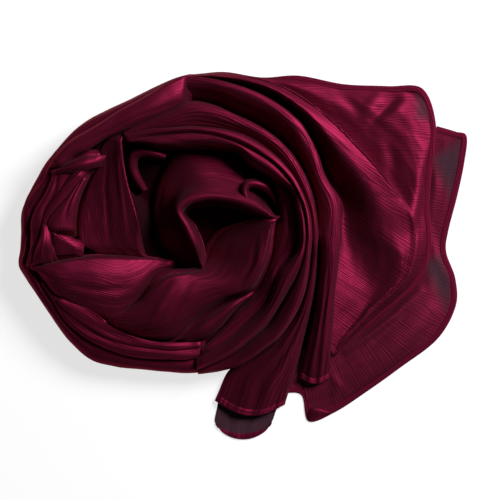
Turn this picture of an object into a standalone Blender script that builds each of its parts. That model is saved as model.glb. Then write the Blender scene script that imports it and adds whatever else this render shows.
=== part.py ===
"""A satin hijab: one long rectangle of crinkled satin, narrow hemmed, laid down as a loose coil.

The cloth lies on a table. Its bunched length winds round once and a half, so it shows as nested
turns, with petals of cloth folded into the middle of the coil, and its two hemmed ends spread out at
the right and at the foot.

Lay-out sizes are in millimetres on the table: x runs right from the left margin, y runs down from the
far margin, and z is the height above the table. The finished objects are in metres, with +Y away from
the viewer and the origin under the middle of the whole outline.
"""

import math

import bpy
import numpy as np

MM = 0.001

# Where the lay-out's own zero stands, and the middle of the coil, in lay-out millimetres.
OUTLINE_MIDDLE = (243.765, 256.847)
COIL_MIDDLE = (190.0, 235.0)

CLOTH = 1.3  # wall of the cloth, several loose layers of satin thick
SEAM = 0.25  # half the gap between stretches that lie side by side
TURN_STEP = 7.5  # degrees between the cross sections of the turns
HEM_WIDTH = 6.0
HEM_CLOTH = 1.0
HEM_GAP = 0.35
HEM_RISE = 0.6
HEM_SHARE = 0.3  # where the cloth is narrow, its hem takes this share of it at most
CORE_STEP = 6.0
CORE_FLOOR = 5.0
CORE_CLEARANCE = 0.5
CORE_REACH = 8.0  # how far round a point of the core the cloth above it is felt, and with it
CORE_CELL_SHARE = 0.6  # this share of the core's own mesh size there
CORE_SHARES = np.array([0.12, 0.24, 0.36, 0.46, 0.55, 0.64, 0.72, 0.80, 0.87, 0.93, 0.97, 1.0])

SATIN = ("wine_satin", (0.105, 0.006, 0.027, 1.0), 0.42)
SHEER = ("wine_satin_single", (0.150, 0.030, 0.055, 1.0), 0.50)
THREAD = ("wine_hem", (0.120, 0.008, 0.032, 1.0), 0.50)

# Lines between neighbouring stretches of the coil: angle about its middle, from the right and
# anticlockwise as seen from above, in degrees, and radius in millimetres.
LINES = {
    "outline": [(90, 160.5), (95, 157.5), (100, 154), (105, 151), (110, 149), (115, 148), (120, 148.5),
                (125, 150), (130, 152.5), (135, 154.5), (145, 157), (155, 161), (165, 164.5),
                (171, 169), (180, 168.5), (185, 170), (190, 173.5), (195, 169), (200, 165),
                (210, 160.5), (222, 161), (233, 158.5), (240, 151.6), (250, 143), (260, 139),
                (270, 138), (287, 137)],
    "rim_top": [(90, 158.6), (92, 157), (100, 150.5), (105, 146), (110, 143), (120, 141), (130, 142),
                (135, 145), (140, 149), (145, 152.5), (152, 155.5)],
    "band_top_inner": [(91, 131.5), (97, 126), (105, 122), (115, 121), (125, 124), (130, 127),
                       (135, 129.5), (140, 132.5), (145, 139.5), (152, 144)],
    "left_1": [(150, 145.5), (155, 147.5), (160, 147.5), (165, 149.5), (170, 154.5), (175, 157.5),
               (180, 157), (185, 158.5), (191, 165)],
    "left_2": [(149, 127), (155, 132), (160, 134), (165, 138), (170, 143), (175, 146), (180, 147.5),
               (185, 153), (191, 162)],
    "left_3": [(149, 121), (155, 122), (160, 124.5), (165, 127.5), (170, 134), (175, 139.5),
               (180, 137), (185, 135), (191, 134)],
    "left_4": [(149, 116), (160, 116), (170, 115), (178, 114), (185, 113.5)],
    "rim_bottom": [(191, 160.5), (196, 156.6), (200, 153), (205, 150.5), (215, 149.5), (220, 147),
                   (230, 142), (240, 136), (250, 130), (260, 125), (270, 123), (276, 121)],
    "band_mid": [(198, 152.3), (203, 148.7), (210, 144.5), (215, 141), (220, 137), (230, 131), (240, 125),
                 (250, 118.5), (260, 115), (270, 112.5), (275, 111)],
    "band_inner": [(206, 144), (210, 136), (213, 130), (220, 123), (230, 121), (240, 117),
                   (250, 113.5), (260, 110), (268, 108)],
    "strand_outer": [(-3, 149.2), (5, 150), (12, 151.5), (16, 150.5), (20, 147.5), (25, 146.5),
                     (30, 148.5), (35, 151), (40, 153.5), (45, 156), (50, 156.5), (60, 156),
                     (70, 155.5), (80, 155.6), (91, 156.4)],
    "turn_a_outer": [(-3, 127), (10, 126.5), (20, 127.5), (30, 128.5), (40, 129), (50, 128.5),
                     (60, 127), (70, 127), (80, 130.5), (87, 132), (92, 130.5), (97, 125.5),
                     (105, 121.5), (115, 120.5), (124, 120)],
    "turn_b_outer": [(-84, 138.2), (-80, 138.3), (-75, 138.4), (-70, 139.2), (-63, 136.6), (-56, 135),
                     (-50, 134.6), (-40, 131.5), (-30, 128), (-20, 124),
                     (-10, 120.8), (0, 121), (10, 121), (20, 119.5), (30, 118), (45, 115),
                     (62, 112), (70, 109.5), (80, 107.5), (100, 107.5), (115, 113), (124, 117.5)],
    "turn_c_outer": [(-89, 137.4), (-85, 134), (-80, 130.5), (-70, 125), (-60, 120), (-50, 117),
                     (-40, 113), (-28, 111.5), (-20, 113), (-10, 115.5), (5, 116.5), (20, 116),
                     (27, 114.5), (33, 112), (40, 109), (50, 104.5), (60, 102), (75, 101.5),
                     (95, 102), (105, 103), (115, 107), (124, 114)],
    "turn_c_inner": [(-89, 124), (-80, 116), (-70, 111.5), (-60, 107), (-50, 104), (-40, 101.5),
                     (-30, 97), (-22, 96.5), (-15, 101.5), (-8, 108), (5, 109), (15, 109), (21, 110.5),
                     (26, 107.5), (30, 103), (40, 95), (50, 91), (60, 95.5), (70, 90), (80, 87.5),
                     (100, 87), (110, 92.5), (117, 102), (124, 111)],
    "core_rim": [(-88, 126), (-80, 121), (-73, 126), (-65, 134), (-58, 143), (-50, 155.5), (-46, 160),
                 (-42, 163),
                 (-34, 166), (-26, 172), (-18, 181), (-12, 188), (-6, 194), (0, 198), (6, 200), (12, 195),
                 (18, 185), (24, 178), (30, 173), (36, 169), (42, 167), (48, 164), (54, 161), (60, 157),
                 (70, 151), (80, 147), (90, 145), (105, 139), (120, 138), (135, 144), (150, 148.5),
                 (165, 153.5), (180, 157.5), (192, 158), (200, 152), (210, 148), (222, 148.5), (235, 144.5),
                 (250, 131), (262, 126.5), (272, 126)],
    "well_edge": [(-82, 112), (-75, 104), (-68, 97.5), (-60, 91), (-50, 88.5), (-40, 88), (-30, 86.5),
                  (-15, 84.5), (0, 85), (10, 89.5), (20, 95), (27, 97), (36, 96.5)],
}

# Folds of the coil between two of those lines, with the angles where they begin and end. Each row is a
# cross section: angle, height of the outer foot, of the crest and of the inner foot, where the crest
# stands between the two, and how hollow the inner side falls (1 where it isn't given: round).
FOLD_COLUMNS = ("angle", "outer_z", "crest_z", "inner_z", "peak", "fall")
FOLDS = {
    "rim_top_left": ("outline", "rim_top", (90.1, 151.5), [
        (90, 0.0, 36, 27, 0.5), (120, 0.0, 38, 30, 0.5), (152, 0.0, 36, 28, 0.5)]),
    "band_top_left": ("rim_top", "band_top_inner", (92.2, 151.5), [
        (90, 24, 44, 22, 0.45), (100, 28, 50, 30, 0.5), (125, 30, 54, 36, 0.5), (152, 30, 50, 38, 0.5)]),
    "rim_left": ("outline", "left_1", (151.64, 190.25), [
        (150, 0.0, 38, 29, 0.5), (170, 0.0, 34, 26, 0.5), (191, 0.0, 32, 22, 0.5)]),
    "fold_left_1": ("left_1", "left_2", (151.64, 189.8), [
        (150, 31, 48, 38, 0.5), (170, 30, 46, 36, 0.5), (191, 26, 42, 34, 0.5)]),
    "fold_left_2": ("left_2", "left_3", (151.64, 176.2), [
        (150, 38, 50, 40, 0.5), (176, 36, 50, 38, 0.5)]),
    "knot_left": ("left_2", "left_3", (176.4, 190.2), [
        (176, 36, 49, 38, 0.5), (184, 34, 52, 36, 0.5), (191, 30, 44, 34, 0.5)]),
    "fold_left_3": ("left_3", "left_4", (151.64, 177.5), [
        (149, 40, 48, 36, 0.5), (165, 40, 53, 34, 0.45), (178, 38, 52, 32, 0.3)]),
    "rim_bottom": ("outline", "rim_bottom", (190.7, 272.8), [
        (190, 0.0, 34, 26, 0.5), (215, 0.0, 32, 23, 0.5), (250, 0.0, 28, 19, 0.5), (276, 0.0, 26, 17, 0.5)]),
    "band_bottom": ("rim_bottom", "band_mid", (198.5, 272.5), [
        (198, 30, 39, 34, 0.5), (203, 26, 39, 32, 0.5), (215, 24, 42, 32, 0.45), (250, 20, 40, 30, 0.45),
        (275, 18, 36, 26, 0.45)]),
    "band_inner": ("band_mid", "band_inner", (206.5, 267), [
        (206, 32, 42, 30, 0.45), (220, 32, 49, 28, 0.4), (250, 30, 47, 26, 0.4), (268, 28, 42, 26, 0.4)]),
    "turn_b": ("turn_b_outer", "turn_c_outer", (-83.5, 123), [
        (-84, 0.6, 16, 9, 0.5, 1), (-76, 1.2, 22, 12, 0.47, 1), (-70, 5, 28, 15, 0.45, 1.2),
        (-60, 14, 36, 20, 0.36, 1.6), (-45, 22, 46, 22, 0.3, 2.4), (-30, 30, 55, 30, 0.34, 2.2),
        (-15, 36, 60, 44, 0.42, 1.6), (0, 42, 62, 48, 0.5, 1.4), (20, 45, 62, 49, 0.5, 1.4),
        (60, 43, 58, 45, 0.4, 1.4), (100, 42, 54, 43, 0.45, 1.2), (124, 40, 47, 41, 0.5, 1)]),
    "turn_c": ("turn_c_outer", "turn_c_inner", (-86.88, 123), [
        (-89, 0.4, 27, 18, 0.5, 1), (-80, 6, 35, 22, 0.5, 1.2), (-60, 18, 44, 26, 0.5, 1.5),
        (-40, 24, 53, 29, 0.4, 1.9), (-25, 32, 58, 30, 0.4, 1.8), (0, 48, 60, 33, 0.45, 1.5),
        (21, 49, 58, 35, 0.5, 1.5), (35, 46, 59, 31, 0.4, 1.7), (55, 42, 57, 29, 0.35, 1.8),
        (90, 42, 54, 28, 0.4, 1.6), (110, 42, 52, 32, 0.45, 1.3), (124, 40, 47, 38, 0.5, 1)]),
    "turn_inner": ("turn_c_inner", "well_edge", (-81, 34), [
        (-82, 20, 28, 20, 0.4), (-60, 24, 34, 18, 0.4), (-30, 26, 38, 18, 0.35), (0, 28, 42, 20, 0.4),
        (20, 30, 42, 20, 0.4), (36, 26, 36, 24, 0.4)]),
}

# The rims lie on the table as a stack of folded layers. Their cross section, from the table up and
# over: share of the width, and share of the height.
RIM_COLUMNS = ("across", "height")
RIM_SECTION = [
    (0.12, 0.00), (0.00, 0.08), (0.00, 0.20), (0.14, 0.28), (0.03, 0.36), (0.03, 0.48), (0.16, 0.55),
    (0.09, 0.62), (0.20, 0.78), (0.38, 0.92), (0.62, 1.00), (0.84, 0.95), (1.00, 0.80)]
RIMS = ("rim_top_left", "rim_left", "rim_bottom")

# Two turns run on out of the coil at its foot and end in a hem. First the turn: outer line, inner
# line, and the same columns as a fold. Then the end, with its right and left edge in plan, how far a
# section bows towards the hem, and how high its pleats stand.
STRAND_TURN = ("strand_outer", "turn_a_outer", (0, 91.5), [
    (0, 26, 43, 26, 0.40, 1.2), (15, 24, 45, 22, 0.34, 1.8), (30, 24, 46, 18, 0.28, 2.6),
    (45, 26, 47, 14, 0.22, 3.4), (60, 28, 45, 12, 0.18, 4.0), (80, 30, 42, 12, 0.17, 4.4),
    (92, 31, 38, 14, 0.2, 4.0)])
TAIL_TURN = ("turn_a_outer", "turn_b_outer", (0, 123), [
    (0, 30, 52, 43, 0.45, 1.3), (20, 28, 56, 44, 0.4, 1.6), (45, 24, 56, 42, 0.32, 1.8),
    (80, 22, 54, 40, 0.36, 1.5), (105, 32, 50, 41, 0.45, 1.2), (124, 38, 46, 42, 0.5, 1)])
END_OF_TURN_COLUMNS = ("outer_x", "outer_y", "outer_z", "crest_z", "inner_x", "inner_y", "inner_z",
                       "peak", "bow", "pleat")
STRAND_END = [
    (339.0, 252.0, 22, 42, 319.2, 250.0, 25, 0.40, 0, 0.0),
    (337.5, 272.0, 19, 39, 318.8, 270.0, 22, 0.42, 0, 0.4),
    (335.0, 294.0, 16, 35, 316.8, 290.0, 18, 0.45, 0, 0.8),
    (333.3, 320.0, 12, 29, 313.0, 315.0, 14, 0.48, 0, 1.0),
    (331.5, 345.0, 9, 23, 308.0, 340.0, 10, 0.50, 1, 1.2),
    (330.8, 360.0, 7, 17, 304.0, 357.0, 7.5, 0.50, 2, 1.2),
    (330.0, 373.0, 4.5, 9, 300.8, 373.0, 4.5, 0.50, 6, 0.8)]
TAIL_END = [
    (317.0, 248.0, 35, 50, 311.8, 250.0, 40, 0.48, 0, 0.0),
    (316.2, 266.0, 28, 46, 309.8, 264.0, 34, 0.50, 0, 0.0),
    (314.5, 286.0, 22, 41, 306.5, 283.0, 27, 0.50, 0, 0.2),
    (311.0, 308.0, 16, 36, 300.3, 303.5, 21, 0.50, 0, 0.5),
    (305.5, 330.0, 12, 30, 289.2, 323.6, 15, 0.48, 1, 0.9),
    (300.5, 351.0, 9, 25, 271.2, 344.4, 10, 0.44, 2, 1.3),
    (295.5, 369.0, 7, 20, 248.8, 360.6, 7, 0.42, 4, 1.6),
    (290.5, 386.0, 2.6, 15, 228.8, 370.4, 2.6, 0.42, 7, 1.6),
    (286.5, 400.0, 1.5, 8, 216.8, 396.0, 1.5, 0.45, 13, 1.0)]
PLEATS = 3

# Stretches laid between two edges in plan. Columns: near edge x, y, z; far edge x, y, z; how far the
# middle stands above the straight line between them; and how far each edge rolls under.
PANEL_COLUMNS = ("ax", "ay", "az", "bx", "by", "bz", "bulge", "roll_a", "roll_b")
PANELS = {
    "leaf_small": [
        (97.0, 156.5, 42, 93.0, 166.5, 38, 6, 8, 8),
        (85.0, 157.5, 43, 86.0, 169.5, 39, 7, 8, 8),
        (74.0, 162.5, 44, 77.0, 171.0, 42, 5, 8, 8),
        (66.0, 167.5, 43, 68.0, 172.0, 42, 2, 6, 6)],
    "tuck_left": [
        (56.0, 232.0, 50, 57.5, 256.5, 42, 1, 7, 4),
        (62.0, 236.5, 49, 62.0, 256.3, 42, 1, 7, 4),
        (68.5, 241.0, 47, 68.0, 255.6, 41, 1, 6, 3),
        (75.5, 245.8, 44, 74.5, 254.8, 40, 1, 4, 2)],
    "panel_left": [
        (107.5, 139.5, 40, 122.0, 142.0, 45, 1, 4, 10),
        (99.5, 152.0, 38, 123.0, 154.0, 45, 0, 4, 12),
        (96.5, 168.0, 37, 125.0, 169.0, 45, 0, 4, 14),
        (88.0, 186.0, 36, 129.0, 188.0, 44, 0, 4, 14),
        (80.5, 206.0, 35, 134.5, 207.0, 42, 0, 4, 14),
        (78.0, 226.0, 34, 139.5, 228.0, 39, 0, 4, 14),
        (79.0, 243.5, 32, 143.0, 246.0, 34, 0, 4, 12),
        (92.0, 250.3, 30, 144.5, 253.5, 29, 0, 3, 10)],
    "petal_left": [
        (38.5, 266.5, 41, 38.5, 271.5, 40, 1, 6, 6),
        (49.0, 263.0, 44, 49.0, 279.0, 41, 3, 8, 8),
        (62.0, 260.0, 45, 62.0, 286.5, 41, 5, 12, 8),
        (78.0, 256.5, 44, 79.0, 292.0, 38, 7, 14, 10),
        (100.0, 254.5, 42, 98.0, 304.0, 33, 8, 14, 10),
        (122.0, 255.0, 38, 118.0, 306.5, 30, 8, 14, 10),
        (143.0, 256.5, 31, 138.0, 293.5, 27, 6, 12, 8),
        (158.0, 258.5, 22, 153.0, 278.0, 21, 4, 8, 6),
        (168.0, 261.0, 14, 165.5, 270.5, 13, 2, 3, 3)],
    "petal_front": [
        (262.0, 219.5, 46, 272.5, 222.0, 50, 0, 3, 16),
        (226.0, 230.0, 17, 271.5, 236.0, 52, 3, 2, 18),
        (213.0, 245.0, 13, 268.5, 254.0, 52, 5, 2, 18),
        (208.0, 259.0, 16, 262.0, 273.0, 50, 5, 3, 18),
        (199.0, 270.0, 27, 250.5, 290.0, 45, 4, 6, 16),
        (182.0, 272.5, 36, 224.0, 300.0, 37, 4, 12, 10),
        (166.0, 275.0, 38, 199.0, 317.5, 30, 8, 14, 8),
        (153.0, 284.5, 37, 173.5, 338.5, 27, 9, 12, 6),
        (139.0, 300.5, 34, 142.0, 338.0, 27, 7, 10, 6),
        (124.0, 311.0, 32, 117.0, 329.5, 27, 4, 6, 6),
        (112.0, 312.5, 31, 106.5, 320.5, 28, 1, 4, 4)],
    "fold_front": [
        (246.5, 295.0, 34, 248.0, 298.6, 31, 2, 6, 6),
        (231.0, 302.0, 33, 234.5, 311.5, 28, 4, 8, 8),
        (214.0, 312.5, 32, 219.5, 328.5, 27, 5, 8, 8),
        (200.0, 324.0, 31, 205.0, 338.5, 26, 5, 8, 8),
        (187.0, 335.0, 28, 190.5, 341.5, 26, 2, 6, 6)],
}

# The broad end at the right. Each section runs from the strand's side over a long roll and out to the
# hem: strand side x, y, z; level of the dip beside it; edge of the roll x, y, and the roll's height;
# level of the deep crease behind the roll; where the cloth behind it swells, as a share of the way to
# the hem, and how high; hem edge x, y, z.
END_COLUMNS = ("side_x", "side_y", "side_z", "dip_z", "roll_x", "roll_y", "roll_z", "foot_z",
               "swell_at", "swell_z", "hem_x", "hem_y", "hem_z")
BROAD_END = [
    (190.4, 77.9, 29, 31, 190.4, 75.9, 34, 16, 0.5, 9, 190.4, 74.3, 1.6),
    (217.0, 80.5, 27, 34, 221.0, 75.6, 41, 14, 0.5, 8, 224.0, 71.3, 1.5),
    (243.5, 87.5, 24, 34, 257.0, 79.5, 45, 10, 0.5, 6, 262.0, 76.8, 1.5),
    (269.0, 98.5, 20, 31, 291.0, 91.0, 46, 5, 0.5, 6, 299.0, 75.0, 1.5),
    (292.0, 113.5, 16, 30, 325.0, 115.0, 45, 4, 0.5, 7, 344.0, 83.5, 1.6),
    (308.5, 135.5, 13, 26, 352.0, 141.0, 42, 4, 0.52, 11, 388.0, 85.5, 1.8),
    (320.0, 160.5, 11, 20, 378.0, 168.5, 37, 4, 0.55, 13, 423.0, 88.0, 2.4),
    (329.5, 184.5, 9, 13, 398.0, 193.0, 30, 5, 0.52, 14, 436.5, 124.0, 3.4),
    (340.5, 206.0, 9, 8, 412.0, 214.0, 23, 6, 0.5, 12, 432.5, 168.0, 3.4),
    (340.5, 235.0, 11, 7, 421.0, 234.0, 16, 7, 0.5, 9, 430.0, 208.0, 3.4),
    (339.8, 264.0, 15, 7, 422.5, 254.0, 11, 7, 0.5, 7, 432.0, 246.0, 3.4),
    (337.5, 292.0, 17, 8, 404.0, 281.0, 9, 7.5, 0.5, 6.5, 418.5, 283.0, 3.6),
    (335.5, 320.0, 15, 9, 370.0, 311.0, 9, 8, 0.5, 7, 381.0, 316.5, 3.8),
    (333.5, 345.0, 10, 8, 344.5, 338.0, 8.5, 8, 0.5, 7, 350.0, 342.0, 4.2),
    (333.0, 355.0, 7.5, 7, 335.2, 353.5, 7, 6.8, 0.5, 6.2, 338.5, 353.5, 4.8)]
BROAD_SPANS = (2, 2, 2, 1, 1, 1, 3, 3)  # steps between the guide lines
ROLL_ROUND = 4.0  # the roll's own rounding, less where the cloth behind it is narrow

# The other end, single and lying on the table under the broad one: hidden edge x, y; hem edge x, y;
# height of the long soft crease that crosses it.
UNDER_COLUMNS = ("hidden_x", "hidden_y", "hem_x", "hem_y", "crease_z")
UNDER_END = [
    (421.0, 131.0, 437.5, 125.5, 0.0),
    (417.0, 142.0, 456.0, 131.0, 0.0),
    (415.0, 152.0, 467.5, 136.0, 0.0),
    (412.0, 168.0, 465.0, 163.0, 0.0),
    (409.0, 190.0, 458.0, 196.0, 0.0),
    (405.0, 215.0, 449.0, 231.0, 0.2),
    (400.0, 238.0, 447.0, 252.0, 0.8),
    (391.0, 258.0, 456.2, 279.0, 1.6),
    (380.0, 276.0, 456.3, 307.0, 2.6),
    (366.0, 294.0, 438.0, 339.5, 3.0),
    (349.0, 312.0, 401.0, 368.0, 3.0),
    (331.0, 330.0, 367.0, 392.3, 2.6),
    (313.0, 347.0, 335.0, 413.0, 1.6),
    (299.5, 355.0, 309.0, 422.0, 0.6),
    (290.5, 357.5, 300.5, 399.5, 0.2),
    (283.0, 361.0, 289.5, 392.5, 0.0)]
UNDER_CREASE_AT = 0.64  # share of the way from the hidden edge to the hem

# The sheer layer under the left tail, single cloth on the table: left x, y; right x, y; bow.
SHEER_TAIL = [
    (226.0, 384.0, 285.0, 388.0, 6.0),
    (219.5, 396.0, 283.0, 399.5, 8.0),
    (217.5, 411.0, 275.5, 411.5, 10.0),
    (215.0, 421.0, 273.0, 421.0, 12.0),
    (218.5, 428.0, 268.5, 428.0, 8.0)]

# The petal that stands round the coil's eye. Each section crosses its ridge: foot outside x, y, z;
# ridge x, y, z; foot inside x, y, z.
EYE_COLUMNS = ("out_x", "out_y", "out_z", "ridge_x", "ridge_y", "ridge_z", "in_x", "in_y", "in_z")
EYE_PETAL = [
    (194.0, 265.5, 10, 201.0, 263.0, 25, 205.0, 258.5, 12),
    (176.0, 252.0, 10, 195.5, 247.0, 40, 201.5, 243.5, 12),
    (163.5, 232.0, 11, 187.0, 228.0, 46, 194.0, 226.5, 12),
    (160.0, 205.0, 14, 178.0, 210.0, 49, 185.5, 213.5, 14),
    (168.0, 178.0, 20, 189.5, 199.5, 49, 194.0, 206.5, 16),
    (184.0, 156.0, 27, 211.0, 195.5, 48, 212.0, 203.5, 18),
    (214.0, 157.0, 28, 233.0, 198.5, 48, 231.5, 206.0, 22),
    (238.0, 166.0, 27, 254.0, 206.5, 50, 250.5, 213.0, 30),
    (246.0, 181.0, 28, 269.0, 214.5, 53, 264.0, 218.0, 40)]

# Two small folds: along a ridge x, y, z, with half its width.
RIDGE_COLUMNS = ("x", "y", "z", "half_width")
RIDGES = {
    "fold_hook": [
        (144.5, 191.0, 20, 3.0), (137.0, 180.0, 28, 4.0), (132.5, 168.0, 33, 4.2),
        (134.0, 157.0, 36, 4.2), (143.0, 152.5, 37, 4.2), (155.0, 154.0, 36, 4.0),
        (166.0, 157.0, 33, 3.4)],
    "fold_loop": [
        (276.5, 205.5, 30, 2.4), (272.5, 195.5, 37, 3.4), (265.5, 187.0, 42, 3.8),
        (255.5, 183.2, 44, 3.6)],
}
RIDGE_DROP = 13.0


# ---- curves and surfaces -------------------------------------------------------------------------
def hermite(knots, values, at):
    """Smooth curve through values at knots: a cubic on each span, with the slopes of the neighbours."""
    knots, values = np.asarray(knots, float), np.asarray(values, float)
    slopes = np.gradient(values, knots, axis=0)
    at = np.clip(at, knots[0], knots[-1])
    span = np.clip(np.searchsorted(knots, at, side="right") - 1, 0, len(knots) - 2)
    width = (knots[span + 1] - knots[span])[:, None]
    t = (at - knots[span])[:, None] / width
    values = values.reshape(len(knots), -1)
    slopes = slopes.reshape(len(knots), -1)
    return ((2 * t**3 - 3 * t**2 + 1) * values[span] + (t**3 - 2 * t**2 + t) * width * slopes[span]
            + (3 * t**2 - 2 * t**3) * values[span + 1] + (t**3 - t**2) * width * slopes[span + 1])


def along_rows(rows, count):
    """Rows of a table, resampled smoothly to count sections."""
    rows = np.asarray(rows, float)
    return hermite(np.arange(len(rows)), rows, np.linspace(0, len(rows) - 1, count))


def radius_of(line, angles):
    knots, radii = zip(*sorted(LINES[line]))
    return hermite(knots, radii, angles)[:, 0]


def ring_points(angles, radii):
    turned = np.radians(angles)
    return np.stack([COIL_MIDDLE[0] + radii * np.cos(turned), COIL_MIDDLE[1] - radii * np.sin(turned)], -1)


def arch(count, tuck):
    """Half turn of a fold's section, with both feet tucked in: share of the width, and of the height."""
    turn = np.linspace(-tuck, math.pi + tuck, count)
    across = (1 - np.cos(turn)) / 2
    sunk = math.sin(tuck)
    height = np.sign(np.sin(turn)) * np.abs(np.sin(turn)) ** 0.8
    return across, (np.maximum(height, -sunk) + sunk) / (1 + sunk)


def hollowed(height, fall):
    """The heights of a section with those inside its crest raised to a power: over 1, it falls hollow."""
    inside = np.arange(height.shape[-1]) > (height.shape[-1] - 1) / 2
    return np.where(inside, height ** np.reshape(fall, (-1, 1)), height)


def fold_surface(outer, inner, outer_z, crest_z, inner_z, peak, section):
    """Sections between two lines: across follows the section, bent so that its middle falls at peak."""
    across, height = section
    bent = across[None, :] ** (np.log(peak) / math.log(0.5))[:, None]
    plan = outer[:, None] + (inner - outer)[:, None] * bent[..., None]
    foot = outer_z[:, None] + (inner_z - outer_z)[:, None] * bent
    z = foot + (crest_z[:, None] - foot) * height
    return np.concatenate([plan, z[..., None]], -1)


def panel_surface(rows, sections, count, roll_width=0.09):
    """Sections between two edges: a straight line, lifted in the middle, rolled down at both edges."""
    ax, ay, az, bx, by, bz, bulge, roll_a, roll_b = along_rows(rows, sections).T[..., None]
    share = (1 - np.cos(np.linspace(0, math.pi, count))) / 2
    rolled_a = 1 - np.sqrt(1 - np.clip(1 - share / roll_width, 0, 1) ** 2)
    rolled_b = 1 - np.sqrt(1 - np.clip(1 - (1 - share) / roll_width, 0, 1) ** 2)
    z = az + (bz - az) * share + bulge * np.sin(math.pi * share) - roll_a * rolled_a - roll_b * rolled_b
    return np.stack([ax + (bx - ax) * share, ay + (by - ay) * share, z], -1)


def upward(surface):
    """Unit normals of a grid surface, turned to the upper side."""
    normal = np.cross(np.gradient(surface, axis=0), np.gradient(surface, axis=1))
    normal /= np.maximum(np.linalg.norm(normal, axis=-1, keepdims=True), 1e-9)
    return normal if normal[..., 2].sum() > 0 else -normal


# ---- the stretches of cloth ----------------------------------------------------------------------
def angles_between(first, last, step):
    """The shared angles of the coil that lie between two ends, and the ends themselves."""
    inside = np.arange(math.floor(first / step) + 1, math.ceil(last / step)) * step
    return np.concatenate([[first], inside[(inside > first + 1) & (inside < last - 1)], [last]])


def turn_rows(outer_line, inner_line, rows, angles):
    """Columns of the sections at these angles: outer x, y, z; crest z; inner x, y, z; peak; and fall."""
    rows = [row if len(row) == len(FOLD_COLUMNS) else (*row, 1.0) for row in rows]
    table = hermite([r[0] for r in rows], [r[1:] for r in rows], angles)
    outer = ring_points(angles, radius_of(outer_line, angles) - SEAM)
    inner = ring_points(angles, radius_of(inner_line, angles) + SEAM)
    return np.column_stack([outer, table[:, 0], table[:, 1], inner, table[:, 2:5]])


def ring_fold(name, count, step=TURN_STEP):
    outer_line, inner_line, (first, last), rows = FOLDS[name]
    table = turn_rows(outer_line, inner_line, rows, angles_between(first, last, step))
    outer, outer_z, crest_z, inner, inner_z, peak = (table[:, 0:2], table[:, 2], table[:, 3], table[:, 4:6],
                                                     table[:, 6], table[:, 7])
    if name in RIMS:
        return fold_surface(outer, inner, outer_z, crest_z, outer_z, peak, rim_section(count))
    across, height = arch(count, 0.35)
    section = across, hollowed(height, table[:, 8])
    return fold_surface(outer, inner, outer_z, crest_z, inner_z, peak, section)


def rim_section(count):
    rows = np.array(RIM_SECTION)
    across, height = hermite(np.arange(len(rows)), rows, np.linspace(0, len(rows) - 1, count)).T
    return np.clip(across, 0, 1), np.clip(height, 0, 1)


def turn_and_end(turn, end, per_row, count, step=TURN_STEP):
    """A turn from its hidden start down to its hemmed end, as one stretch."""
    outer_line, inner_line, (first, last), rows = turn
    ring = turn_rows(outer_line, inner_line, rows, angles_between(first, last, step)[::-1])
    fall = ring[:, 8]
    ring = np.column_stack([ring[:, :8], np.zeros((len(ring), 2))])
    free = along_rows(np.vstack([ring[-2:], end]), (len(end) + 1) * per_row + 1)[per_row + 1:]
    fall = np.append(fall, np.linspace(fall[-1], 1.0, len(free)))
    table = np.vstack([ring, free])
    spread = np.linspace(0, 1, len(free))[:, None]
    spread = np.vstack([np.zeros((len(ring), 1)), spread])  # the feet come out from under towards the end
    tucked, level = arch(count, 0.3), arch(count, 0.0)
    across = tucked[0] + (level[0] - tucked[0]) * spread
    height = hollowed(tucked[1] + (level[1] - tucked[1]) * spread, fall)
    share = across ** (np.log(table[:, 7]) / math.log(0.5))[:, None]
    plan = table[:, None, 0:2] + (table[:, 4:6] - table[:, 0:2])[:, None] * share[..., None]
    plan[..., 1] += table[:, 8:9] * np.sin(math.pi * share)
    foot = table[:, 2:3] + (table[:, 6:7] - table[:, 2:3]) * share
    pleats = table[:, 9:10] * np.cos(2 * math.pi * PLEATS * share) * np.sin(math.pi * share)
    z = foot + (table[:, 3:4] - foot) * height + pleats
    return np.concatenate([plan, z[..., None]], -1)


def broad_end(sections, per_span):
    """Nine guide lines from the strand over the roll to the hem, joined across by one smooth curve."""
    (side_x, side_y, side_z, dip_z, roll_x, roll_y, roll_z, foot_z, swell_at, swell_z,
     hem_x, hem_y, hem_z) = along_rows(BROAD_END, sections).T
    side, roll = np.stack([side_x, side_y], -1), np.stack([roll_x, roll_y], -1)
    hem_line = np.stack([hem_x, hem_y, hem_z], -1)
    reach = np.linalg.norm(hem_line[:, :2] - roll, axis=1)
    hem_width = np.minimum(HEM_WIDTH, HEM_SHARE * reach)
    inside = np.column_stack([roll, roll_z])
    band = hem_band(inset(hem_line, inside, hem_width), hem_line)
    edge = inset(hem_line, inside, hem_width + HEM_GAP)[:, :2]
    out = (edge - roll) / np.linalg.norm(edge - roll, axis=1, keepdims=True)
    back = (side - roll) / np.linalg.norm(side - roll, axis=1, keepdims=True)
    round_off = np.minimum(ROLL_ROUND, 0.22 * reach)[:, None]
    drop = roll_z - foot_z
    swell = roll + (edge - roll) * swell_at[:, None]
    guides = [(side, side_z), (side * 0.7 + roll * 0.3, dip_z),
              (side * 0.3 + roll * 0.7, dip_z * 0.06 + roll_z * 0.94),
              (roll + back * round_off, roll_z - 0.8),
              (roll, roll_z - np.minimum(4.0, 0.4 * drop)),
              (roll + out * round_off * 0.15, foot_z + np.minimum(3.0, 0.25 * drop)),
              (roll + out * round_off * 0.8, foot_z), (swell, swell_z), (edge, hem_z)]
    lines = np.stack([np.concatenate([plan, z[:, None]], -1) for plan, z in guides], 1)
    knots = np.array([0.0, 0.2, 0.4, 0.52, 0.58, 0.63, 0.69, 0.85, 1.0])
    steps = np.round(np.array(BROAD_SPANS) * per_span).astype(int)
    at = np.concatenate([np.linspace(a, b, n, endpoint=False) for a, b, n in zip(knots, knots[1:], steps)])
    flat = hermite(knots, lines.transpose(1, 0, 2).reshape(len(knots), -1), np.append(at, 1.0))
    return flat.reshape(len(at) + 1, sections, 3).transpose(1, 0, 2), band


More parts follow.
